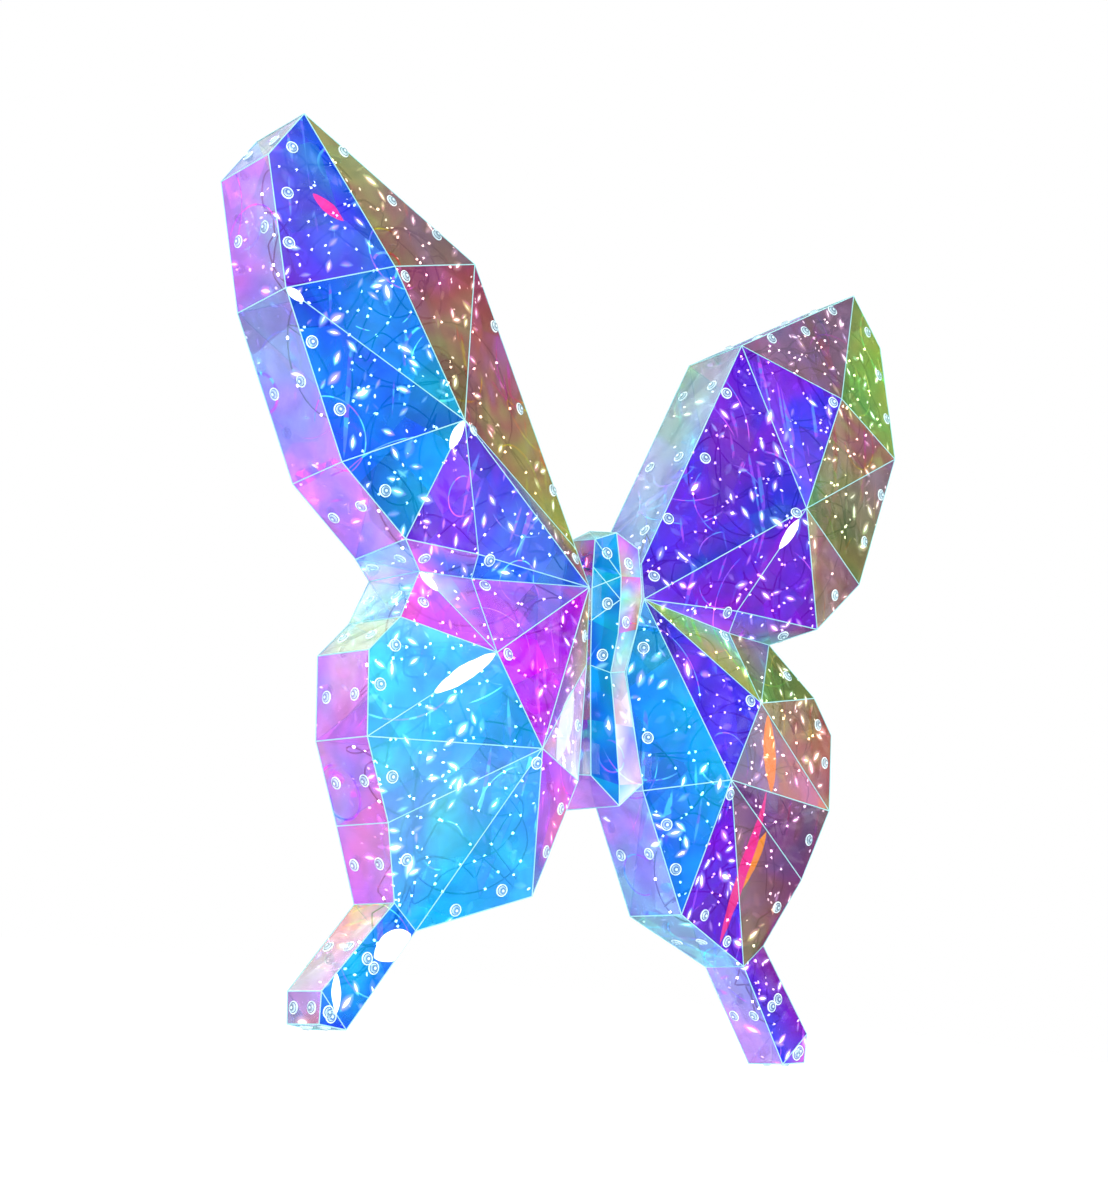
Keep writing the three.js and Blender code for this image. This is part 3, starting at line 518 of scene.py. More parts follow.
def turn_to(corners, facets, letters, away):
    """The facets and their letters, each reversed where its normal doesn't face the way given."""
    made = []
    for names, inks in zip(facets, letters):
        a, b, c = (corners[name] for name in names[:3])
        facing = np.cross(b - a, c - a) @ away > 0
        made.append((names, inks) if facing else (names[::-1], inks[::-1]))
    return [m[0] for m in made], [m[1] for m in made]


def wall_facets(corners, rim, inks, text):
    """Four-cornered facets between a rim's front and rear points, turned away from the front sheets.

    A front panel that runs from one rim point to the next has its wall run the other way."""
    facets, letters = turn_to(corners, split_names(text), split_names(text), np.array([0.0, -1.0, 0.0]))
    runs = {(names[i - 1], names[i]) for names in facets for i in range(len(names))}
    made, colours = [], []
    for (a, b), ink in zip(zip(rim, rim[1:]), inks):
        facet, ink = [a, b, b + "_r", a + "_r"], list(ink)
        if (a, b) in runs:
            facet, ink = facet[::-1], ink[::-1]
        made.append(facet)
        colours.append(ink)
    return made, colours


def mirrored(points, faces, side):
    """The mesh as it is for the right side, and reflected in X with its faces turned for the left."""
    if side == "right":
        return points, faces
    return points * np.array([-1.0, 1.0, 1.0]), faces[:, ::-1]


def mirrored_places(points, side):
    return points * np.array([SIDES[side], 1.0, 1.0])


def add_film(name, side, corners, facets, letters, material, replaces):
    film = settings("film")
    points, faces, tints = panels(corners, facets, letters, film.fineness, film.sag)
    points, faces = mirrored(points, faces, side)
    if side == "left":
        tints = tints.reshape(-1, 3, 3)[:, ::-1].reshape(-1, 3)
    piece = add_piece(name, side + "_wing", points, faces, material, replaces)
    paint(piece, tints)
    thicken(piece, film.thickness)
    return piece


def rear_letters(facets, side, offset):
    """A letter for each corner of the rear facets, which takes turns through the wing's rear tints."""
    inks = REAR_TINTS[side]
    return [[inks[(offset + i + k % 2) % len(inks)] for k in range(len(names))]
            for i, names in enumerate(facets)]


def behind(text):
    """The rear corners of the facets that a text names by their front corners."""
    return [[corner + "_r" for corner in names] for names in split_names(text)]


def build_wing_film(side):
    corners = wing_corners()
    front, back = np.array([0.0, -1.0, 0.0]), np.array([0.0, 1.0, 0.0])
    tints = TINTS[side]
    for name, text in FRONT_SHEETS.items():
        inks = [list(ink) for ink in tints[name].split()]
        facets, letters = turn_to(corners, split_names(text), inks, front)
        add_film(f"{side}_{name[:-6]}_film", side, corners, facets, letters, material_of("front_film"),
                 [f"{side}_{name}"])
    everywhere = ", ".join(FRONT_SHEETS.values())
    for name, rim in WALLS.items():
        facets, letters = wall_facets(corners, rim.split(), tints[name].split(), everywhere)
        if name == "tail_tray":
            rear = behind(FRONT_SHEETS["tail_front_sheet"])
            rear, inks = turn_to(corners, rear, rear_letters(rear, side, 3), back)
            facets, letters = facets + rear, letters + inks
        add_film(f"{side}_{name}_film", side, corners, facets, letters, material_of("wall_film"),
                 [f"{side}_{name}"])
    rear_sheets = (("forewing_rear_sheet", FORE_FACES), ("hindwing_rear_sheet", HIND_FACES))
    for offset, (name, text) in enumerate(rear_sheets):
        rear = behind(text)
        facets, letters = turn_to(corners, rear, rear_letters(rear, side, 5 * offset), back)
        add_film(f"{side}_{name[:-6]}_film", side, corners, facets, letters, material_of("rear_film"),
                 [f"{side}_{name}"])


def wing_edges(side):
    """Every fold line of a wing once, as pairs of point names; two folds of the right wing have no weld."""
    edges = set()
    for text in FRONT_SHEETS.values():
        for names in split_names(text):
            for a, b in zip(names, names[1:] + names[:1]):
                edges.add(tuple(sorted((a, b))))
                edges.add(tuple(sorted((a + "_r", b + "_r"))))
    for rim in WALLS.values():
        edges |= {(name, name + "_r") for name in rim.split()}
    if side == "right":
        edges -= {("f8", "shoulder"), ("h3", "waist")}
    return sorted(edges)


def build_fold_beads(side):
    corners = wing_corners()
    radius = settings("film").fold_radius
    edges = wing_edges(side)
    starts = mirrored_places(np.array([corners[a] for a, _ in edges]), side)
    ends = mirrored_places(np.array([corners[b] for _, b in edges]), side)
    points, faces = rods(starts, ends, radius, FOLD_TURN)
    add_piece(f"{side}_wing_fold_beads", side + "_wing", points, faces, material_of("fold_bead"))


# ---- Rivets ----
def feet_on(corners, facets, places):
    """The nearest point of the facets to each place, and the facet's outward normal there.

    Each triangle's nearest point is the place dropped on its plane, with its shares held between 0 and 1."""
    triples = np.array([[corners[name] for name in triple] for names in facets for triple in fan(names)])
    a, b, c = triples[:, 0], triples[:, 1], triples[:, 2]
    normal = np.cross(b - a, c - a)
    area = np.einsum("ij,ij->i", normal, normal)[:, None]
    to = places[None] - a[:, None]
    second = np.einsum("tpi,ti->tp", np.cross(to, (c - a)[:, None]), normal) / area
    third = np.einsum("tpi,ti->tp", np.cross((b - a)[:, None], to), normal) / area
    shares = np.clip(np.stack([1 - second - third, second, third], -1), 0, 1)
    shares /= shares.sum(-1, keepdims=True)
    near = np.einsum("tpk,tki->tpi", shares, triples)
    best = np.linalg.norm(near - places[None], axis=-1).argmin(0)
    normal /= np.linalg.norm(normal, axis=1, keepdims=True)
    return near[best, np.arange(len(places))], normal[best]


def even_shares(start, end, pitch):
    """Shares along a fold of its rivets: a pitch apart, half that from the ends, none if it is short."""
    length = np.linalg.norm(end - start) / MM
    count = max(1, round(length / pitch)) if length > BARE_FOLD else 0
    return (np.arange(count) + 0.5) / max(count, 1)


def sheet_rivet_places(corners, facets):
    """Places along each fold that only one facet has and at each inner corner, drawn in to a facet's middle.

    A place on the fold from a to b at share s is a + s (b - a), moved by the inset towards the middle."""
    owners = {}
    for names in facets:
        for pair in zip(names, names[1:] + names[:1]):
            owners.setdefault(frozenset(pair), []).append((pair, names))
    rim = [held[0] for held in owners.values() if len(held) == 1]
    outline = {name for pair, _ in rim for name in pair}
    starts = []
    for (a, b), names in rim:
        start, end = corners[a], corners[b]
        shares = even_shares(start, end, SHEET_RIVET_PITCH)
        starts += [(start + share * (end - start), names) for share in shares]
    inner = {name: names for names in facets for name in names if name not in outline}
    starts += [(corners[name], names) for name, names in sorted(inner.items())]
    places = []
    for place, names in starts:
        inward = np.mean([corners[name] for name in names], 0) - place
        places.append(place + inward * RIVET_INSET * MM / np.linalg.norm(inward))
    return np.array(places)


def wall_rivet_places(corners):
    """Places in two rows along each wall facet, between its front fold and its rear fold."""
    places = []
    for rim in WALLS.values():
        names = rim.split()
        for a, b in zip(names, names[1:]):
            for share in even_shares(corners[a], corners[b], WALL_RIVET_PITCH):
                front = corners[a] + share * (corners[b] - corners[a])
                rear = corners[a + "_r"] + share * (corners[b + "_r"] - corners[a + "_r"])
                places += [front + row * (rear - front) for row in WALL_ROWS]
    return np.array(places)


def rivet_profile():
    """Radius, height and painted light and shade from the washer behind the film out: flange, groove,
    flat-domed cap.
    """
    size = settings("rivets")
    head, cap, rise = size.head, size.cap, size.rise
    washer = [(0.5 * head, -0.0016, 0.2), (0.8 * head, -0.0014, 0.3)]
    flange = [(head, 0.0001, 1.0), (head, 0.0008, 1.0), (0.84 * head, 0.001, 0.9), (0.8 * head, 0.001, 0.1)]
    edge = [(1.04 * cap, 0.001, 0.1), (cap, 0.0014, 0.85), (0.8 * cap, 0.95 * rise, 0.6)]
    return washer + flange + edge + [(0.5 * cap, rise, 0.15), (0.3 * cap, rise, 0.9)]


def add_rivets(name, body, places, directions):
    """Snap rivets turned about their places; each point's attribute holds its station's painted light and
    shade.
    """
    around = 14
    radius, height, painted_ring_shading = np.array(rivet_profile()).T
    points, faces = turned(places, directions, np.stack([radius, height], -1), around)
    piece = add_piece(name, body, points, faces, material_of("rivet_plastic"))
    layer = piece.data.attributes.new("painted_ring_shading", "FLOAT", "POINT")
    values = np.concatenate([np.repeat(painted_ring_shading, around), [0.0, 1.0]])
    layer.data.foreach_set("value", np.tile(values, len(places)).astype(np.float32))
    return piece


def build_wing_rivets(side):
    corners = wing_corners()
    front, back = np.array([0.0, -1.0, 0.0]), np.array([0.0, 1.0, 0.0])
    sheets = split_names(", ".join(FRONT_SHEETS.values()))
    front_facets, _ = turn_to(corners, sheets, sheets, front)
    rear = behind(", ".join(FRONT_SHEETS.values()))
    rear_facets, _ = turn_to(corners, rear, rear, back)
    walls = []
    for rim in WALLS.values():
        names = rim.split()
        walls += wall_facets(corners, names, names, ", ".join(FRONT_SHEETS.values()))[0]
    sets = {
        "front": feet_on(corners, front_facets, sheet_rivet_places(corners, sheets)),
        "rear": feet_on(corners, rear_facets, sheet_rivet_places(corners, rear)),
        "wall": feet_on(corners, walls, wall_rivet_places(corners)),
    }
    for kind, (feet, normals) in sets.items():
        add_rivets(f"{side}_wing_{kind}_rivets", side + "_wing", mirrored_places(feet, side),
                   mirrored_places(normals, side))


# ---- Strings of lights ----
def light_path(corners, route, strand):
    """The wire's path in the shell: the route's curve with round loops laid along it.

    A point at length s is moved by curl * (sin, cos)(2 pi s / run) in X and Z. It goes back to the route
    where that leaves the outline, and its y is kept inside the two sheets. Each further strand takes another
    depth and wider loops."""
    lights = settings("lights")
    out, up, share = np.array(route, float).T
    share = (share, 0.9 - 0.8 * share, 0.05 + 0.2 * share, 0.3 - 0.5 * share)[strand]
    x, z = (ROOT_X + out + ROOT[0]) * MM, (up + ROOT[2]) * MM
    front = ", ".join(FRONT_SHEETS.values())
    rear = ", ".join(" ".join(name + "_r" for name in names) for names in split_names(front))
    near, far = height_over(corners, front, x, z)[0], height_over(corners, rear, x, z)[0]
    path = smooth_path(np.stack([x, near + share * (far - near), z], -1), WIRE_STEP)
    gone = np.arange(len(path)) * WIRE_STEP
    size = STRAND_LOOPS[strand]
    angle = 2 * np.pi * gone / (size * lights.curl_length) * STRAND_TURNS[strand] + 2.0 * strand
    loop = np.stack([np.sin(angle), 0.4 * np.sin(0.7 * angle), np.cos(angle)], -1)
    looped = path + size * lights.curl * loop
    loose = height_over(corners, front, looped[:, 0], looped[:, 2])[1] <= 0
    loose &= height_over(corners, rear, looped[:, 0], looped[:, 2])[1] <= 0
    part = np.convolve(loose.astype(float), np.ones(9) / 9, "same")[:, None]
    part = np.minimum(part, loose[:, None])
    path = path + part * (looped - path)
    path = even_path(path, WIRE_STEP)
    near = height_over(corners, front, path[:, 0], path[:, 2])[0] + WIRE_ROOM
    far = height_over(corners, rear, path[:, 0], path[:, 2])[0] - WIRE_ROOM
    path[:, 1] = np.clip(path[:, 1], near, np.maximum(near, far))
    return path


def build_lights(side):
    lights = settings("lights")
    corners = wing_corners()
    for wing, route in LIGHT_ROUTES.items():
        wires, bulbs = [], []
        for strand in range(STRANDS):
            path = mirrored_places(light_path(corners, route, strand), side)
            wires.append(tube(path, lights.wire_radius, 6))
            step = max(1, round(lights.spacing / WIRE_STEP))
            along = np.gradient(path, axis=0)
            along /= np.linalg.norm(along, axis=1, keepdims=True)
            profile = [(0.45, -1.5), (0.9, -0.9), (1.0, 0.0), (0.9, 0.9), (0.45, 1.5)]
            scaled = [(r * lights.bulb_radius, h * lights.bulb_radius) for r, h in profile]
            bulbs.append(turned(path[step // 2::step], along[step // 2::step], scaled, 8))
        node = f"{side}_{wing}_light_string"
        points, faces = joined(wires)
        add_piece(f"{side}_{wing}_light_wire", side + "_wing", points, faces, material_of("light_wire"),
                  [node])
        points, faces = joined(bulbs)
        add_piece(f"{side}_{wing}_light_bulbs", side + "_wing", points, faces, material_of("lit_bulb"))


# ---- Body ----
def body_corners():
    """Front and rear points of the body in metres: left, right and ridge of each row, and rear outline."""
    corners = {"hip": np.array(HIP_TIP, float)}
    for i, (half, edge_y, edge_z, ridge_y, ridge_z) in enumerate(BODY_ROWS):
        for word, side in SIDES.items():
            corners[f"{word}{i}"] = np.array([side * half, edge_y, edge_z])
            corners[f"{word}{i}_r"] = np.array([side * half * REAR_SHARE, BODY_BACK, edge_z])
        corners[f"ridge{i}"] = np.array([0.0, ridge_y, ridge_z])
    peak, keel = BODY_ROWS[0][4], HIP_TIP[2]
    corners["peak_r"] = np.array([0.0, BODY_BACK, peak + 2])
    corners["keel_r"] = np.array([0.0, BODY_BACK, keel - 9])
    return {name: (corner + ROOT) * MM for name, corner in corners.items()}


def body_facets(side):
    last = len(BODY_ROWS) - 1
    made = [[f"{side}{i}", f"ridge{i}", f"ridge{i + 1}", f"{side}{i + 1}"] for i in range(last)]
    return made + [[f"{side}{last}", f"ridge{last}", "hip"]]


def add_body_film(name, corners, facets, letters, away, material, node):
    film = settings("film")
    facets, letters = turn_to(corners, facets, letters, np.array(away))
    points, faces, tints = panels(corners, facets, letters, 8, 0.3 * film.sag)
    piece = add_piece(name, "body", points, faces, material, [node])
    paint(piece, tints)
    thicken(piece, film.thickness)
    return piece


def build_body_film():
    corners = body_corners()
    facets = body_facets("left") + body_facets("right")
    letters = [list(ink) for ink in (BODY_LEFT_TINTS + " " + BODY_RIGHT_TINTS).split()]
    add_body_film("body_front_film", corners, facets, letters, (0, -1, 0), material_of("body_film"),
                  "body_front_shell")
    rows = len(BODY_ROWS)
    for word, side in SIDES.items():
        strip = [[f"{word}{i}", f"{word}{i + 1}", f"{word}{i + 1}_r", f"{word}{i}_r"]
                 for i in range(rows - 1)]
        inks = [list(ink) for ink in ("IPsy PIFp WyPs IpWF ypWI FWpI" if word == "left" else
                                      "pIFs IpWF FpyW WpFI pWIF WFpy").split()]
        add_body_film(f"body_{word}_side_film", corners, strip, inks, (side, 0, 0), material_of("clear_film"),
                      f"body_{word}_panel")
    last = rows - 1
    for name, row, peak, rear, away, inks, node in (
        ("body_crown_film", 0, "ridge0", "peak_r", (0, 0, 1), "JFWJ FJJW", "body_crown"),
        ("body_keel_film", last, "hip", "keel_r", (0, 0, -1), "IPII OIPI", "body_keel"),
    ):
        roof = [[f"{word}{row}", peak, rear, f"{word}{row}_r"] for word in SIDES]
        letters_over = [list(ink) for ink in inks.split()]
        add_body_film(name, corners, roof, letters_over, away, material_of("wall_film"), node)
    ridge = [f"ridge{i}" for i in range(rows)] + ["hip"]
    edges = set(zip(ridge, ridge[1:]))
    for word in SIDES:
        edges |= {(f"{word}{i}", f"{word}{i + 1}") for i in range(last)} | {(f"{word}{last}", "hip")}
        edges |= {(f"{word}{i}", f"ridge{i}") for i in (0, 4)}
    edges |= {("left0", "ridge1"), ("left1", "ridge2"), ("ridge1", "left2"), ("left3", "ridge2")}
    for word in SIDES:
        edges |= {(f"{word}{i}", f"{word}{i}_r") for i in (0, last)}
        edges |= {(f"{word}{i}_r", f"{word}{i + 1}_r") for i in range(last)}
        edges |= {(f"{word}0_r", "peak_r"), (f"{word}{last}_r", "keel_r")}
    edges = sorted(edges | {("ridge0", "peak_r"), ("hip", "keel_r")})
    points, faces = rods(np.array([corners[a] for a, _ in edges]), np.array([corners[b] for _, b in edges]),
                         settings("film").fold_radius, FOLD_TURN)
    spots = np.array(BODY_RIVETS, float)
    x, z = spots[:, 0] * MM, (spots[:, 1] + ROOT[2]) * MM
    y = height_over(corners, ", ".join(" ".join(names) for names in facets), x, z)[0]
    turned_facets, _ = turn_to(corners, facets, letters, np.array([0.0, -1.0, 0.0]))
    feet, normals = feet_on(corners, turned_facets, np.stack([x, y, z], -1))
    piece = add_rivets("body_rivets", "body", feet, normals)
    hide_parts(*[f"body_rivet_{i}" for i in range(1, 6)])
    add_piece("body_fold_beads", "body", points, faces, material_of("fold_bead"))


def body_half_width(z):
    """Half width of the body's front at heights from the root line, mm, straight from row to row."""
    rows = np.array(BODY_ROWS, float)[::-1]
    return np.interp(z, rows[:, 2], rows[:, 0])


def hinge_strip(side, top, bottom, rows, columns):
    """A clear strip over the hinge line: each row is a smooth curve through a point on the body's front, a
    point on the hinge line and a point on the wing's front, weighted as a quadratic."""
    corners, body = wing_corners(), body_corners()
    z = np.linspace(top, bottom, rows)
    high = (z + ROOT[2]) * MM
    front = ", ".join(" ".join(names) for names in body_facets("right"))
    wing = ", ".join(FRONT_SHEETS.values())
    inner_x = (body_half_width(z) - 10) * MM
    inner_y = height_over(body, front, inner_x, high)[0] - 0.0008
    middle_x = np.full(rows, ROOT_X * MM)
    middle_y = (AXIS_SLOPE * z + ROOT[1]) * MM - 0.0016
    outer_x = np.full(rows, (ROOT_X + 13) * MM)
    outer_y = height_over(corners, wing, outer_x, high)[0] - 0.0008
    t = np.linspace(0, 1, columns)[None, :, None]
    a, b, c = (np.stack([x, y, high], -1)[:, None] for x, y in (
        (inner_x, inner_y), (middle_x, middle_y), (outer_x, outer_y)))
    points = 2 * (t - 0.5) * (t - 1) * a + 4 * t * (1 - t) * b + 2 * t * (t - 0.5) * c
    index = np.arange(rows * columns).reshape(rows, columns)
    faces = np.stack([index[:-1, :-1], index[1:, :-1], index[1:, 1:], index[:-1, 1:]], -1).reshape(-1, 4)
    return mirrored(points.reshape(-1, 3), faces, side)


def build_hinge_strips():
    for side in SIDES:
        for word, top, bottom in (("upper", 14.0, -26.0), ("lower", -144.0, -172.0)):
            points, faces = hinge_strip(side, top, bottom, 14, 17)
            node = f"{side}_{word}_hinge_tab"
            piece = add_piece(f"{side}_{word}_hinge_strip", None, points, faces, material_of("hinge_plastic"),
                              [node])
            thicken(piece, 0.0005)
            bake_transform(piece)


# ---- Materials ----
class Tree:
    """Adds nodes to a material's tree and links or sets their sockets."""

    def __init__(self, name):
        self.material = bpy.data.materials.new(name)
        self.material.use_nodes = True
        self.tree = self.material.node_tree
        self.tree.nodes.clear()
        self.output = self.tree.nodes.new("ShaderNodeOutputMaterial")
        self.where = self.add("TexCoord").outputs["Object"]

    def add(self, kind, choices=None, **sockets):
        node = self.tree.nodes.new("ShaderNode" + kind)
        for key, value in (choices or {}).items():
            setattr(node, key, value)
        for key, value in sockets.items():
            self.feed(node.inputs[key.replace("_", " ")], value)
        return node

    def feed(self, socket, value):
        if isinstance(value, bpy.types.NodeSocket):
            self.tree.links.new(value, socket)
        else:
            socket.default_value = value

    def math(self, operation, first, second=0.0):
        node = self.add("Math", {"operation": operation})
        self.feed(node.inputs[0], first)
        self.feed(node.inputs[1], second)
        return node.outputs[0]

    def vector(self, operation, first, second):
        node = self.add("VectorMath", {"operation": operation})
        self.feed(node.inputs[0], first)
        self.feed(node.inputs[1], second)
        return node.outputs[0]

    def dot(self, first, second):
        node = self.add("VectorMath", {"operation": "DOT_PRODUCT"})
        self.feed(node.inputs[0], first)
        self.feed(node.inputs[1], second)
        return node.outputs["Value"]

    def ramp(self, value, low, high, to_low=0.0, to_high=1.0):
        node = self.add("MapRange", {"interpolation_type": "SMOOTHSTEP"})
        for socket, given in zip(node.inputs, (value, low, high, to_low, to_high)):
            self.feed(socket, given)
        return node.outputs[0]

    def mix(self, share, first, second, blend="MIX"):
        node = self.add("Mix", {"data_type": "RGBA", "blend_type": blend})
        for index, value in ((0, share), (6, first), (7, second)):
            self.feed(node.inputs[index], value)
        return node.outputs[2]

    def noise(self, scale, detail=2.0, distortion=0.0, vector=None):
        node = self.add("TexNoise", Vector=vector or self.where, Scale=scale, Detail=detail,
                        Distortion=distortion)
        return node.outputs["Fac"]

    def bump(self, height, strength, distance):
        return self.add("Bump", Strength=strength, Distance=distance, Height=height).outputs["Normal"]

    def finish(self, shader):
        self.tree.links.new(shader, self.output.inputs["Surface"])
        return self.material


def rgba(code, alpha=1.0):
    return (*[float(v) for v in linear(code)], alpha)


FULL_TURN = 6.283


def leaf_glints(tree, scale, length, width, depth, lit, spin):
    """Masks of leaf-shaped painted glints, one for some cells of a cell pattern: leaf, wider painted halo and
    cell colour.

    From a cell's middle, turned at random, the leaf is where |w| / width + (u / length)^2 + (v / depth)^2
    is under 1."""
    place = tree.add("Mapping", Vector=tree.where, Location=(spin, 2 * spin, 3 * spin),
                     Scale=(scale, scale, scale)).outputs[0]
    cells = tree.add("TexVoronoi", Vector=place, Scale=1.0)
    chance = tree.add("SeparateColor", Color=cells.outputs["Color"]).outputs
    away = tree.vector("SUBTRACT", place, cells.outputs["Position"])
    turned_away = tree.add("VectorRotate", Vector=away, Axis=(0.2, 1.0, 0.1),
                           Angle=tree.math("MULTIPLY", chance[0], FULL_TURN)).outputs[0]
    shares = tree.vector("DIVIDE", turned_away, (length, depth, width))
    square = tree.vector("MULTIPLY", shares, shares)
    u, v, _ = tree.add("SeparateXYZ", Vector=square).outputs
    w = tree.math("ABSOLUTE", tree.add("SeparateXYZ", Vector=shares).outputs[2])
    reach = tree.math("ADD", tree.math("ADD", u, v), w)
    chosen = tree.math("GREATER_THAN", chance[1], 1 - lit)
    leaf = tree.math("MULTIPLY", tree.ramp(reach, 1.0, 0.6), chosen)
    halo = tree.math("MULTIPLY", tree.ramp(reach, 2.6, 0.9), chosen)
    return leaf, halo, chance[2]


def hoops(tree, scale, radius, width, lit, spin):
    """Mask of thin painted highlight arcs: the shell at one distance from the middle of some cells of a cell
    pattern.
    """
    place = tree.add("Mapping", Vector=tree.where, Location=(spin, 2 * spin, 3 * spin),
                     Scale=(scale, scale, scale)).outputs[0]
    cells = tree.add("TexVoronoi", Vector=place, Scale=1.0)
    chance = tree.add("SeparateColor", Color=cells.outputs["Color"]).outputs
    size = tree.math("MULTIPLY", radius, tree.ramp(chance[0], 0.0, 1.0, 0.55, 1.25))
    off = tree.math("ABSOLUTE", tree.math("SUBTRACT", cells.outputs["Distance"], size))
    painted_ring_shading = tree.ramp(off, width, 0.4 * width)
    return tree.math("MULTIPLY", painted_ring_shading, tree.math("GREATER_THAN", chance[1], 1 - lit))


def place_on_fold(side, fold, share):
    """The place a share of the way along a fold of one wing's front, in metres, flattened along Y."""
    start, end = (np.array(FOLDS[name], float) for name in fold.split())
    out, _, up = start + share * (end - start)
    return np.array([SIDES[side] * (ROOT_X + out), 0.0, up + ROOT[2]]) * MM


def painted_reflection(tree, start, end, width):
    """Mask of one painted reflection on the front film, a long bright streak, seen along Y: nearer the
    segment than width * (4 t (1 - t))^0.8 at share t."""
    along = end - start
    to = tree.vector("MULTIPLY", tree.vector("SUBTRACT", tree.where, tuple(start)), (1.0, 0.0, 1.0))
    share = tree.dot(to, tuple(along / (along @ along)))
    share = tree.math("MINIMUM", tree.math("MAXIMUM", share, 0.0), 1.0)
    foot = tree.add("VectorMath", {"operation": "SCALE"}, Vector=tuple(along), Scale=share).outputs[0]
    gap = tree.vector("SUBTRACT", to, foot)
    away = tree.add("VectorMath", {"operation": "LENGTH"}, Vector=gap).outputs["Value"]
    fat = tree.math("MULTIPLY", tree.math("MULTIPLY", share, tree.math("SUBTRACT", 1.0, share)), 4.0)
    limit = tree.math("MULTIPLY", tree.math("POWER", fat, 0.8), width * MM)
    rough = tree.math("MULTIPLY", tree.math("SUBTRACT", tree.noise(60.0, 1.0), 0.5), 0.003)
    return tree.ramp(tree.math("ADD", tree.math("SUBTRACT", away, limit), rough), 0.0002, -0.0008)


# ---- Painted glints on the film ----
# Each kind has its cells per metre, length, width, depth, share of cells lit and the pattern's offset.
GLINTS = [(34, 0.24, 0.09, 0.3, 0.6, 0.0), (52, 0.28, 0.09, 0.32, 0.5, 1.7), (95, 0.22, 0.13, 0.3, 0.25, 3.1)]


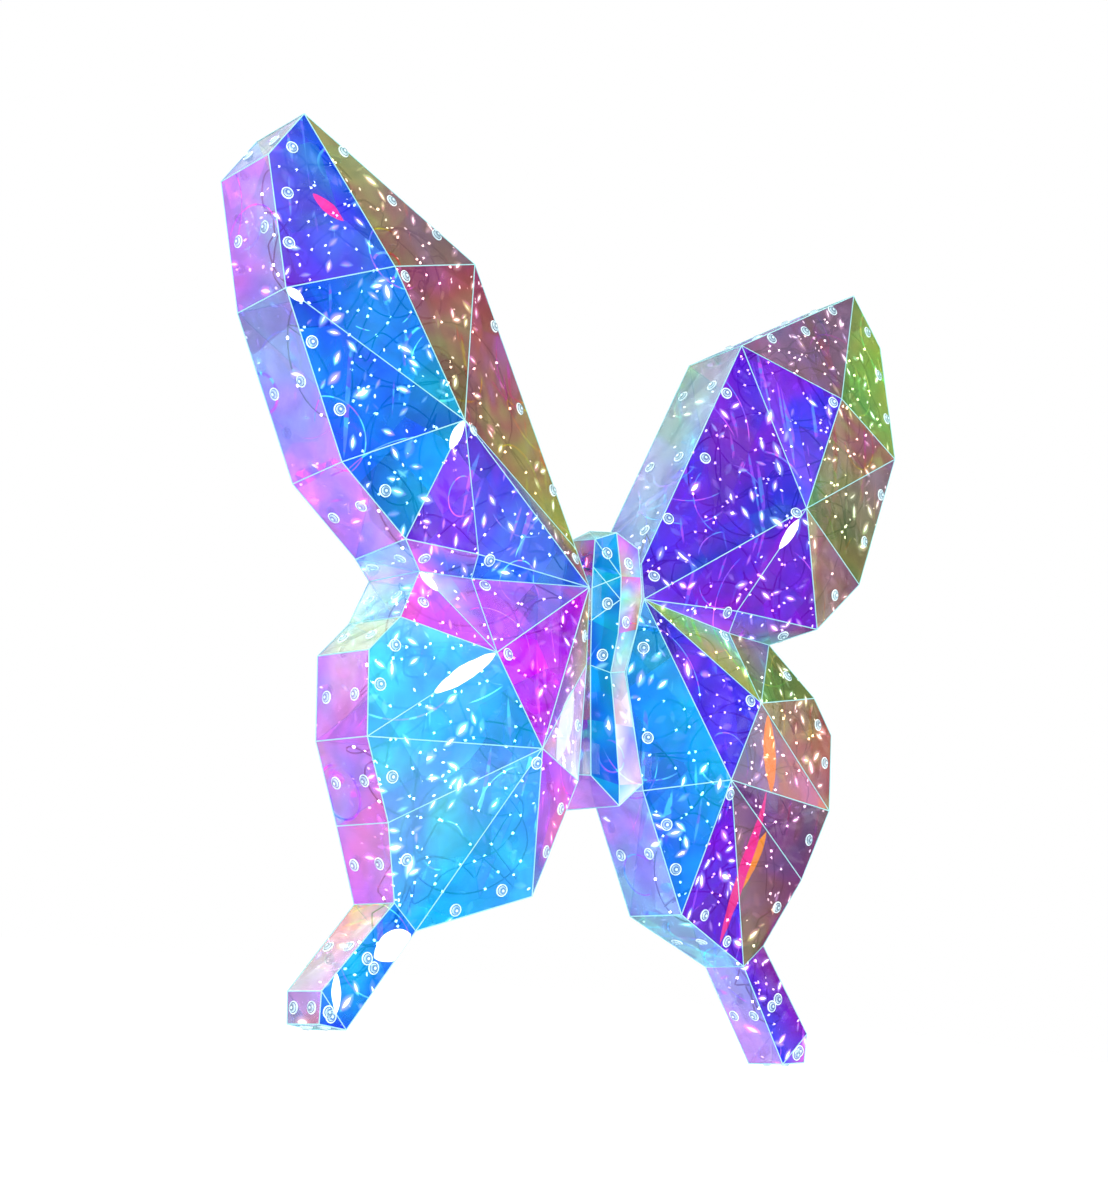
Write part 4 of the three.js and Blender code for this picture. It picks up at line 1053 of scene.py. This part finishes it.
def film_material(name, opacity, sparkle, patches=0.0, painted_reflections=(), pale=0.0):
    """Iridescent film: tinted see-through under a glossy tinted skin, with crossed tones, painted highlight
    arcs, painted glints and reflections, and a faint painted glow.
    """
    film = settings("film")
    tree = Tree(name)
    tint = tree.mix(pale, tree.add("Attribute", {"attribute_name": "tint"}).outputs["Color"], (1, 1, 1, 1))
    tones = tree.add("TexVoronoi", Vector=tree.where, Scale=13.0)
    tone = tree.add("SeparateColor", Color=tones.outputs["Color"]).outputs
    flecks = tree.add("TexVoronoi", Vector=tree.where, Scale=85.0)
    fleck = tree.add("SeparateColor", Color=flecks.outputs["Color"]).outputs
    drift = tree.noise(9.0, 2.0, 1.2)
    strength = tree.add("SeparateColor", {"mode": "HSV"}, Color=tint).outputs[1]
    swing = tree.ramp(strength, 0.45, 0.85, 0.11 - 0.2 * pale, 0.02)
    hue = tree.math("MULTIPLY", tree.math("ADD", tree.ramp(drift, 0.3, 0.7, -1.0, 1.0), tree.math(
        "SUBTRACT", tone[0], 0.5)), swing)
    hue = tree.math("ADD", tree.math("ADD", hue, 0.5), tree.math(
        "MULTIPLY", tree.math("SUBTRACT", fleck[0], 0.5), 0.9 * patches))
    value = tree.math("MULTIPLY", tree.ramp(tone[1], 0.0, 1.0, 0.9, 1.12),
                      tree.ramp(tree.noise(31.0, 3.0, 1.0), 0.3, 0.7, 0.9, 1.08))
    shifted = tree.add("HueSaturation", Hue=hue, Saturation=tree.ramp(
        strength, 0.45, 0.9, 1.2 + 0.6 * patches, 1.03), Value=value, Color=tint).outputs[0]
    leaves, halos = [], []
    for scale, length, width, depth, lit, spin in GLINTS:
        leaf, halo, chance = leaf_glints(tree, scale, length, width, depth, lit, spin)
        leaves.append(leaf)
        halos.append(halo)
    leaf = tree.math("MAXIMUM", tree.math("MAXIMUM", leaves[0], leaves[1]), leaves[2])
    halo = tree.math("MAXIMUM", halos[0], halos[1])
    crowd = tree.ramp(tree.noise(10.0, 1.0), 0.38, 0.58, 0.15, 1.0)
    leaf = tree.math("MULTIPLY", leaf, tree.math("GREATER_THAN", crowd, 0.4))
    halo = tree.math("MULTIPLY", halo, crowd)
    # Painted highlights: thin arcs and long drawn-out streaks, painted in a brightened tone of the film.
    arcs = tree.math("MAXIMUM", hoops(tree, 7.0, 0.42, 0.005, 0.9, 0.4), tree.math("MAXIMUM", hoops(
        tree, 10.0, 0.40, 0.007, 0.9, 2.2), hoops(tree, 4.6, 0.45, 0.0034, 0.95, 5.0)))
    arcs = tree.math("MULTIPLY", arcs, tree.ramp(tree.noise(14.0, 1.0), 0.47, 0.53))
    drawn_out = tree.add("Mapping", Vector=tree.where, Rotation=(0.2, 0.7, 0.1), Scale=(16, 3, 1.6))
    streak_highlights = tree.noise(6.0, 1.0, 0.3, drawn_out.outputs[0])
    arcs = tree.math("MAXIMUM", arcs, tree.ramp(streak_highlights, 0.66, 0.7, 0.0, 0.5))
    # The brightened tone of the painted highlights and halos.
    highlight_tone = tree.add("HueSaturation", Hue=tree.ramp(chance, 0.0, 1.0, 0.40, 0.60), Saturation=tree.ramp(
        strength, 0.4, 0.8, 1.9, 0.85), Value=1.8, Color=shifted).outputs[0]
    shown = tree.mix(tree.math("MULTIPLY", arcs, 0.75), shifted, highlight_tone)
    # Painted halos round the glints, in a paler tone of the painted highlights.
    shown = tree.mix(tree.math("MULTIPLY", halo, 0.55 * sparkle), shown, tree.mix(0.35, highlight_tone, (1, 1, 1, 1)))
    bright = tree.math("MULTIPLY", leaf, sparkle)
    solid = tree.ramp(tone[2], 0.0, 1.0, 0.85 * opacity, 1.1 * opacity)
    # Painted reflections: each long streak is painted in its colour over the film and made to glow.
    for side, start, end, width, code in painted_reflections:
        reflection_mark = painted_reflection(tree, place_on_fold(side, *start), place_on_fold(side, *end), width)
        shown = tree.mix(reflection_mark, shown, rgba(code))
        reflection_mark = tree.math("MULTIPLY", reflection_mark, 0.75 if code == "ffffff" else 0.3)
        bright = tree.math("MAXIMUM", bright, reflection_mark)
    # The painted glints glow, white at their cores, whiter on strong tints than on dull ones.
    whitened = tree.math("MULTIPLY", leaf, tree.ramp(strength, 0.4, 0.8, 0.3, 0.85))
    glowing = tree.mix(whitened, shown, (1, 1, 1, 1))
    gloss = tree.ramp(tree.noise(30.0, 3.0), 0.3, 0.7, 0.6 * film.roughness, 1.6 * film.roughness)
    # The film has a faint painted glow all over and a strong one at the painted glints and reflections.
    skin = tree.add(
        "BsdfPrincipled", Base_Color=shown, Roughness=gloss, IOR=1.5, Coat_Weight=0.15, Coat_Roughness=0.05,
        Normal=tree.bump(tree.noise(24.0, 2.0, 0.6), 0.5, 0.004), Emission_Color=glowing,
        Emission_Strength=tree.math("ADD", tree.math("MULTIPLY", bright, 1.3), 0.2))
    clear = tree.add("BsdfTransparent", Color=tree.mix(0.34 + pale, shown, (1, 1, 1, 1)))
    solid = tree.math("MAXIMUM", bright, tree.math("ADD", solid, tree.math("MULTIPLY", halo, 0.3 * sparkle)))
    both = tree.add("MixShader")
    for index, value in ((0, solid), (1, clear.outputs[0]), (2, skin.outputs[0])):
        tree.feed(both.inputs[index], value)
    return tree.finish(both.outputs[0])


def bead_material():
    """Welded fold line: pale mint plastic with a faint painted glow, a painted highlight along the crease, a
    little uneven along its length.
    """
    tree = Tree("fold_bead")
    # Pale tone and faint glow: a painted highlight along the fold.
    tone = tree.mix(tree.noise(28.0, 2.0), rgba("7fe6dc"), rgba("d4f4ff"))
    skin = tree.add("BsdfPrincipled", Base_Color=tone, Roughness=tree.ramp(
        tree.noise(300.0), 0.3, 0.7, 0.12, 0.3), Alpha=0.8, Emission_Color=tone, Emission_Strength=0.12)
    return tree.finish(skin.outputs[0])


def rivet_material():
    """Moulded clear snap rivet: a painted highlight with a faint painted glow on the rim and cap edge, and
    painted shade, dim and see-through, between them.
    """
    tree = Tree("rivet_plastic")
    # Painted light and shade by station: pale and glowing at the rims, dark teal between them.
    painted_ring_shading = tree.add("Attribute", {"attribute_name": "painted_ring_shading"}).outputs["Fac"]
    painted_ring_shading = tree.math("MULTIPLY", painted_ring_shading, tree.ramp(tree.noise(130.0, 1.0), 0.3, 0.6, 0.75, 1.0))
    tone = tree.mix(painted_ring_shading, rgba("4f9fc0"), rgba("e6fdff"))
    skin = tree.add("BsdfPrincipled", Base_Color=tone, Roughness=0.08,
                    Alpha=tree.ramp(painted_ring_shading, 0.1, 0.9, 0.3, 0.95), Coat_Weight=0.6, Coat_Roughness=0.03,
                    Normal=tree.bump(tree.noise(420.0), 0.1, 0.0004),
                    Emission_Color=tone, Emission_Strength=tree.ramp(painted_ring_shading, 0.5, 1.0, 0.0, 0.45))
    return tree.finish(skin.outputs[0])


def wire_material():
    """Varnished copper wire: dark teal, a little darker in patches."""
    tree = Tree("light_wire")
    tone = tree.mix(tree.noise(60.0, 2.0), rgba("083a56"), rgba("256c86"))
    skin = tree.add("BsdfPrincipled", Base_Color=tone, Metallic=0.2, Roughness=0.3,
                    Normal=tree.bump(tree.noise(900.0), 0.15, 0.0002))
    return tree.finish(skin.outputs[0])


def bulb_material():
    """Lit resin drop: a warm white glow, whiter in patches."""
    tree = Tree("lit_bulb")
    tone = tree.mix(tree.noise(25.0, 0.0), rgba("fff1d2"), rgba("ffffff"))
    skin = tree.add("BsdfPrincipled", Base_Color=tone, Roughness=0.2, Emission_Color=tone,
                    Emission_Strength=settings("lights").glow)
    made = tree.finish(skin.outputs[0])
    made.cycles.emission_sampling = "NONE"
    return made


def hinge_material():
    """Clear hinge strip: thin glossy sheet with faint rubbed streaks."""
    tree = Tree("hinge_plastic")
    streaks = tree.noise(14.0, 4.0, 0.4, tree.add("Mapping", Vector=tree.where, Scale=(40, 4, 2)).outputs[0])
    tone = tree.mix(tree.noise(20.0, 1.0, 1.0), rgba("f6e4f6"), rgba("d9f1fb"))
    skin = tree.add("BsdfPrincipled", Base_Color=tone, Roughness=tree.ramp(streaks, 0.3, 0.7, 0.05, 0.25),
                    Alpha=0.03, Coat_Weight=0.15, Coat_Roughness=0.04)
    return tree.finish(skin.outputs[0])


def moulded_material(name, light, dark, roughness, grain):
    """Moulded plastic: two close tones in soft patches under a fine spark-eroded grain."""
    tree = Tree(name)
    tone = tree.mix(tree.ramp(tree.noise(35.0, 3.0), 0.35, 0.65), rgba(dark), rgba(light))
    rough = tree.ramp(tree.noise(120.0, 3.0), 0.3, 0.7, 0.85 * roughness, 1.2 * roughness)
    skin = tree.add("BsdfPrincipled", Base_Color=tone, Roughness=rough,
                    Normal=tree.bump(tree.noise(grain, 3.0), 0.2, 0.0003))
    return tree.finish(skin.outputs[0])


def metal_material():
    """Nickel-plated contact: brushed across, with faint staining."""
    tree = Tree("contact_metal")
    brushed = tree.noise(30.0, 4.0, 0.0, tree.add("Mapping", Vector=tree.where, Scale=(4, 90, 90)).outputs[0])
    tone = tree.mix(tree.noise(50.0, 3.0), rgba("b9b7ad"), rgba("d9d8d2"))
    skin = tree.add("BsdfPrincipled", Base_Color=tone, Metallic=1.0,
                    Roughness=tree.ramp(brushed, 0.3, 0.7, 0.18, 0.42),
                    Normal=tree.bump(brushed, 0.15, 0.0002))
    return tree.finish(skin.outputs[0])


def cell_material():
    """Battery cell: blue shrink sleeve with silver bands at both ends."""
    tree = Tree("cell_skin")
    height = tree.add("SeparateXYZ", Vector=tree.where).outputs["Z"]
    low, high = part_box("battery_cell_1")
    middle = (low.z + high.z) / 2
    away = tree.math("ABSOLUTE", tree.math("SUBTRACT", height, middle))
    band = tree.ramp(away, 0.0205, 0.021)
    tone = tree.mix(band, tree.mix(tree.noise(60.0), rgba("24508c"), rgba("2f66ad")), rgba("c4c6c8"))
    skin = tree.add("BsdfPrincipled", Base_Color=tone, Roughness=0.3, Metallic=band,
                    Normal=tree.bump(tree.noise(500.0), 0.08, 0.0002))
    return tree.finish(skin.outputs[0])


MAKERS = {
    "front_film": lambda: film_material("front_film", settings("film").opacity, 1.0, painted_reflections=PAINTED_REFLECTIONS),
    "wall_film": lambda: film_material("wall_film", 0.24, 0.7, pale=0.22),
    "rear_film": lambda: film_material("rear_film", settings("film").rear_opacity, 0.5, pale=0.12),
    "body_film": lambda: film_material("body_film", 0.45, 0.9),
    "clear_film": lambda: film_material("clear_film", 0.2, 0.8, 0.4),
    "fold_bead": bead_material,
    "rivet_plastic": rivet_material,
    "light_wire": wire_material,
    "lit_bulb": bulb_material,
    "hinge_plastic": hinge_material,
    "plate_plastic": lambda: moulded_material("plate_plastic", "dfe3e8", "c9ced6", 0.42, 900.0),
    "case_plastic": lambda: moulded_material("case_plastic", "f3f3f1", "e2e3e4", 0.38, 1100.0),
    "switch_plastic": lambda: moulded_material("switch_plastic", "35373d", "222429", 0.45, 1200.0),
    "board_laminate": lambda: moulded_material("board_laminate", "2f7a45", "215c34", 0.35, 700.0),
    "contact_metal": metal_material,
    "cell_skin": cell_material,
}
_made = {}


def material_of(name):
    if name not in _made:
        _made[name] = MAKERS[name]()
    return _made[name]


# ---- Rear fittings ----
NODE_FINISHES = {
    "plate_plastic": ["back_plate"],
    "case_plastic": ["battery_case", "battery_lid"],
    "switch_plastic": ["switch_knob", "switch_body"],
    "board_laminate": ["driver_board"],
    "contact_metal": ["upper_contact_plate", "lower_contact_plate"],
    "cell_skin": ["battery_cell_1", "battery_cell_2"],
    "light_wire": ["feed_wire"],
}


def finish_nodes():
    for finish, names in NODE_FINISHES.items():
        for name in names:
            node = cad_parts[name]
            node.data.materials.clear()
            node.data.materials.append(material_of(finish))


def build_rear_details():
    """Screws in the plate, grip ribs on the lid, and ribs on the switch knob."""
    plate_low, plate_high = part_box("back_plate")
    back = plate_high.y
    spots = np.array([(-0.015, 0.101), (0.015, 0.101), (-0.013, -0.084), (0.013, -0.084)])
    places = np.stack([spots[:, 0], np.full(len(spots), back - 0.0004), spots[:, 1]], -1)
    facing = np.tile([[0.0, 1.0, 0.0]], (len(spots), 1))
    head = [(0.0009, -0.0004), (0.0030, -0.0003), (0.0032, 0.0006), (0.0026, 0.0012), (0.0014, 0.0013),
            (0.0012, 0.0005), (0.0004, 0.0004)]
    points, faces = turned(places, facing, head, 20)
    add_piece("back_plate_screws", "body", points, faces, material_of("contact_metal"))
    low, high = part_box("battery_lid")
    z = np.linspace(high.z - 0.006, high.z - 0.0135, 6)
    starts = np.stack([np.full(6, low.x + 0.009), np.full(6, high.y), z], -1)
    ends = starts * [1, 1, 1] + [[high.x - low.x - 0.018, 0, 0]]
    points, faces = rods(starts, ends, 0.0005, 8)
    add_piece("battery_lid_grip", "lid", points, faces, material_of("case_plastic"))
    low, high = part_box("switch_knob")
    x = np.linspace(low.x + 0.003, high.x - 0.003, 3)
    starts = np.stack([x, np.full(3, high.y), np.full(3, low.z + 0.0022)], -1)
    ends = np.stack([x, np.full(3, high.y), np.full(3, high.z - 0.0022)], -1)
    points, faces = rods(starts, ends, 0.00025, 8)
    add_piece("switch_knob_ribs", "switch", points, faces, material_of("switch_plastic"))


# ---- Stage ----
CAMERA_PLACE = (-1.8913, -2.1020, -0.2345)
CAMERA_RIGHT = (0.7361, -0.6669, 0.1159)
CAMERA_UP = (-0.1556, 0.0, 0.9878)
CAMERA_AHEAD = (0.6588, 0.7452, 0.1037)
CAMERA_LENS = 90.0
CAMERA_SENSOR = 36.0
CAMERA_SIGHT = 60.0
FLOOR_REACH = 24.0
MOST_FILM_LAYERS = 40  # surfaces of film that light may cross


def build_stage():
    stage = settings("stage")
    scene = bpy.context.scene
    camera = bpy.data.objects.new("camera", bpy.data.cameras.new("camera"))
    scene.collection.objects.link(camera)
    camera.data.lens = CAMERA_LENS
    camera.data.sensor_width = CAMERA_SENSOR
    camera.data.clip_end = CAMERA_SIGHT
    turn = Matrix((CAMERA_RIGHT, CAMERA_UP, tuple(-v for v in CAMERA_AHEAD))).transposed()
    camera.matrix_world = Matrix.Translation(CAMERA_PLACE) @ turn.to_4x4()
    scene.camera = camera
    floor = bpy.data.meshes.new("floor")
    outline = ((-1, -1), (1, -1), (1, 1), (-1, 1))
    floor.from_pydata([(FLOOR_REACH * x, FLOOR_REACH * y, stage.floor_height) for x, y in outline], [],
                      [(0, 1, 2, 3)])
    tree = Tree("floor_paint")
    skin = tree.add("BsdfPrincipled", Base_Color=(0.98, 0.98, 0.98, 1), Roughness=0.9,
                    Emission_Color=(1, 1, 1, 1), Emission_Strength=0.4)
    floor.materials.append(tree.finish(skin.outputs[0]))
    ground = bpy.data.objects.new("floor", floor)
    ground.visible_glossy = False
    scene.collection.objects.link(ground)
    for name, place, size, power in (
        ("key_light", (-1.6, -1.5, 1.9), 1.6, stage.key), ("fill_light", (2.2, -1.4, 0.6), 1.4, stage.fill),
        ("rim_light", (0.4, 2.0, 1.2), 1.4, stage.fill)):
        lamp = bpy.data.lights.new(name, "AREA")
        lamp.size = size
        lamp.energy = power
        holder = bpy.data.objects.new(name, lamp)
        aimed = Vector(place).to_track_quat("Z", "Y").to_matrix().to_4x4()
        holder.matrix_world = Matrix.Translation(place) @ aimed
        scene.collection.objects.link(holder)
    world = bpy.data.worlds.new("studio")
    scene.world = world
    world.use_nodes = True
    nodes, links = world.node_tree.nodes, world.node_tree.links
    nodes.clear()
    output = nodes.new("ShaderNodeOutputWorld")
    seen, lighting = nodes.new("ShaderNodeBackground"), nodes.new("ShaderNodeBackground")
    seen.inputs["Color"].default_value = (1, 1, 1, 1)
    seen.inputs["Strength"].default_value = 1.0
    lighting.inputs["Color"].default_value = (0.97, 0.98, 1, 1)
    lighting.inputs["Strength"].default_value = stage.world
    mirror = nodes.new("ShaderNodeBackground")
    mirror.inputs["Color"].default_value = (0.9, 0.95, 1, 1)
    mirror.inputs["Strength"].default_value = stage.mirror
    other, either = nodes.new("ShaderNodeMixShader"), nodes.new("ShaderNodeMixShader")
    path = nodes.new("ShaderNodeLightPath")
    for mixed, choice, first, second in (
        (other, "Is Glossy Ray", lighting, mirror), (either, "Is Camera Ray", other, seen)):
        links.new(path.outputs[choice], mixed.inputs[0])
        links.new(first.outputs[0], mixed.inputs[1])
        links.new(second.outputs[0], mixed.inputs[2])
    links.new(either.outputs[0], output.inputs["Surface"])
    scene.view_settings.view_transform = "Standard"
    scene.cycles.transparent_max_bounces = MOST_FILM_LAYERS


# ---- Operators ----
class StageOperator(bpy.types.Operator):
    """Add the camera, pale floor and soft lights"""

    bl_idname = "wings.stage"
    bl_label = "Stage and camera"

    def execute(self, context):
        build_stage()
        return {"FINISHED"}


class WingFilmOperator(bpy.types.Operator):
    """Add the film panels of both wings and their tails"""

    bl_idname = "wings.film"
    bl_label = "Wing film"

    def execute(self, context):
        for side in SIDES:
            build_wing_film(side)
        return {"FINISHED"}


class FoldBeadOperator(bpy.types.Operator):
    """Add the welded line along every fold of both wings"""

    bl_idname = "wings.fold_beads"
    bl_label = "Fold beads"

    def execute(self, context):
        for side in SIDES:
            build_fold_beads(side)
        return {"FINISHED"}


class RivetOperator(bpy.types.Operator):
    """Add the snap rivets of both wings"""

    bl_idname = "wings.rivets"
    bl_label = "Snap rivets"

    def execute(self, context):
        for side in SIDES:
            build_wing_rivets(side)
        return {"FINISHED"}


class LightStringOperator(bpy.types.Operator):
    """Add the strings of lights inside both wings"""

    bl_idname = "wings.light_strings"
    bl_label = "Strings of lights"

    def execute(self, context):
        for side in SIDES:
            build_lights(side)
        return {"FINISHED"}


class BodyOperator(bpy.types.Operator):
    """Add the body's film panels and fold beads"""

    bl_idname = "wings.body"
    bl_label = "Body film"

    def execute(self, context):
        build_body_film()
        return {"FINISHED"}


class HingeStripOperator(bpy.types.Operator):
    """Add the clear strips that carry the wings"""

    bl_idname = "wings.hinge_strips"
    bl_label = "Hinge strips"

    def execute(self, context):
        build_hinge_strips()
        return {"FINISHED"}


class FittingsOperator(bpy.types.Operator):
    """Finish the plate, battery case, switch and board, and add their small details"""

    bl_idname = "wings.fittings"
    bl_label = "Rear fittings"

    def execute(self, context):
        finish_nodes()
        build_rear_details()
        return {"FINISHED"}


OPERATORS = (StageOperator, WingFilmOperator, FoldBeadOperator, RivetOperator, LightStringOperator,
             BodyOperator, HingeStripOperator, FittingsOperator)


class WingsPanel(bpy.types.Panel):
    """Lists the settings and the steps that build the wings"""

    bl_idname = "VIEW3D_PT_wings"
    bl_label = "Light-up wings"
    bl_space_type = "VIEW_3D"
    bl_region_type = "UI"
    bl_category = "Wings"

    def draw(self, context):
        for kind, group in GROUPS.items():
            box = self.layout.box()
            for name in group.__annotations__:
                box.prop(settings(kind), name)
        for operator in OPERATORS:
            self.layout.operator(operator.bl_idname)


def register():
    for group in GROUPS.values():
        bpy.utils.register_class(group)
    for kind, group in GROUPS.items():
        setattr(bpy.types.Scene, f"wings_{kind}", bpy.props.PointerProperty(type=group))
    for operator in OPERATORS:
        bpy.utils.register_class(operator)
    bpy.utils.register_class(WingsPanel)


def unregister():
    bpy.utils.unregister_class(WingsPanel)
    for operator in reversed(OPERATORS):
        bpy.utils.unregister_class(operator)
    for kind, group in reversed(GROUPS.items()):
        delattr(bpy.types.Scene, f"wings_{kind}")
        bpy.utils.unregister_class(group)


def main():
    register()
    for operator in OPERATORS:
        group, name = operator.bl_idname.split(".")
        getattr(getattr(bpy.ops, group), name)()


if __name__ == "__main__":
    main()
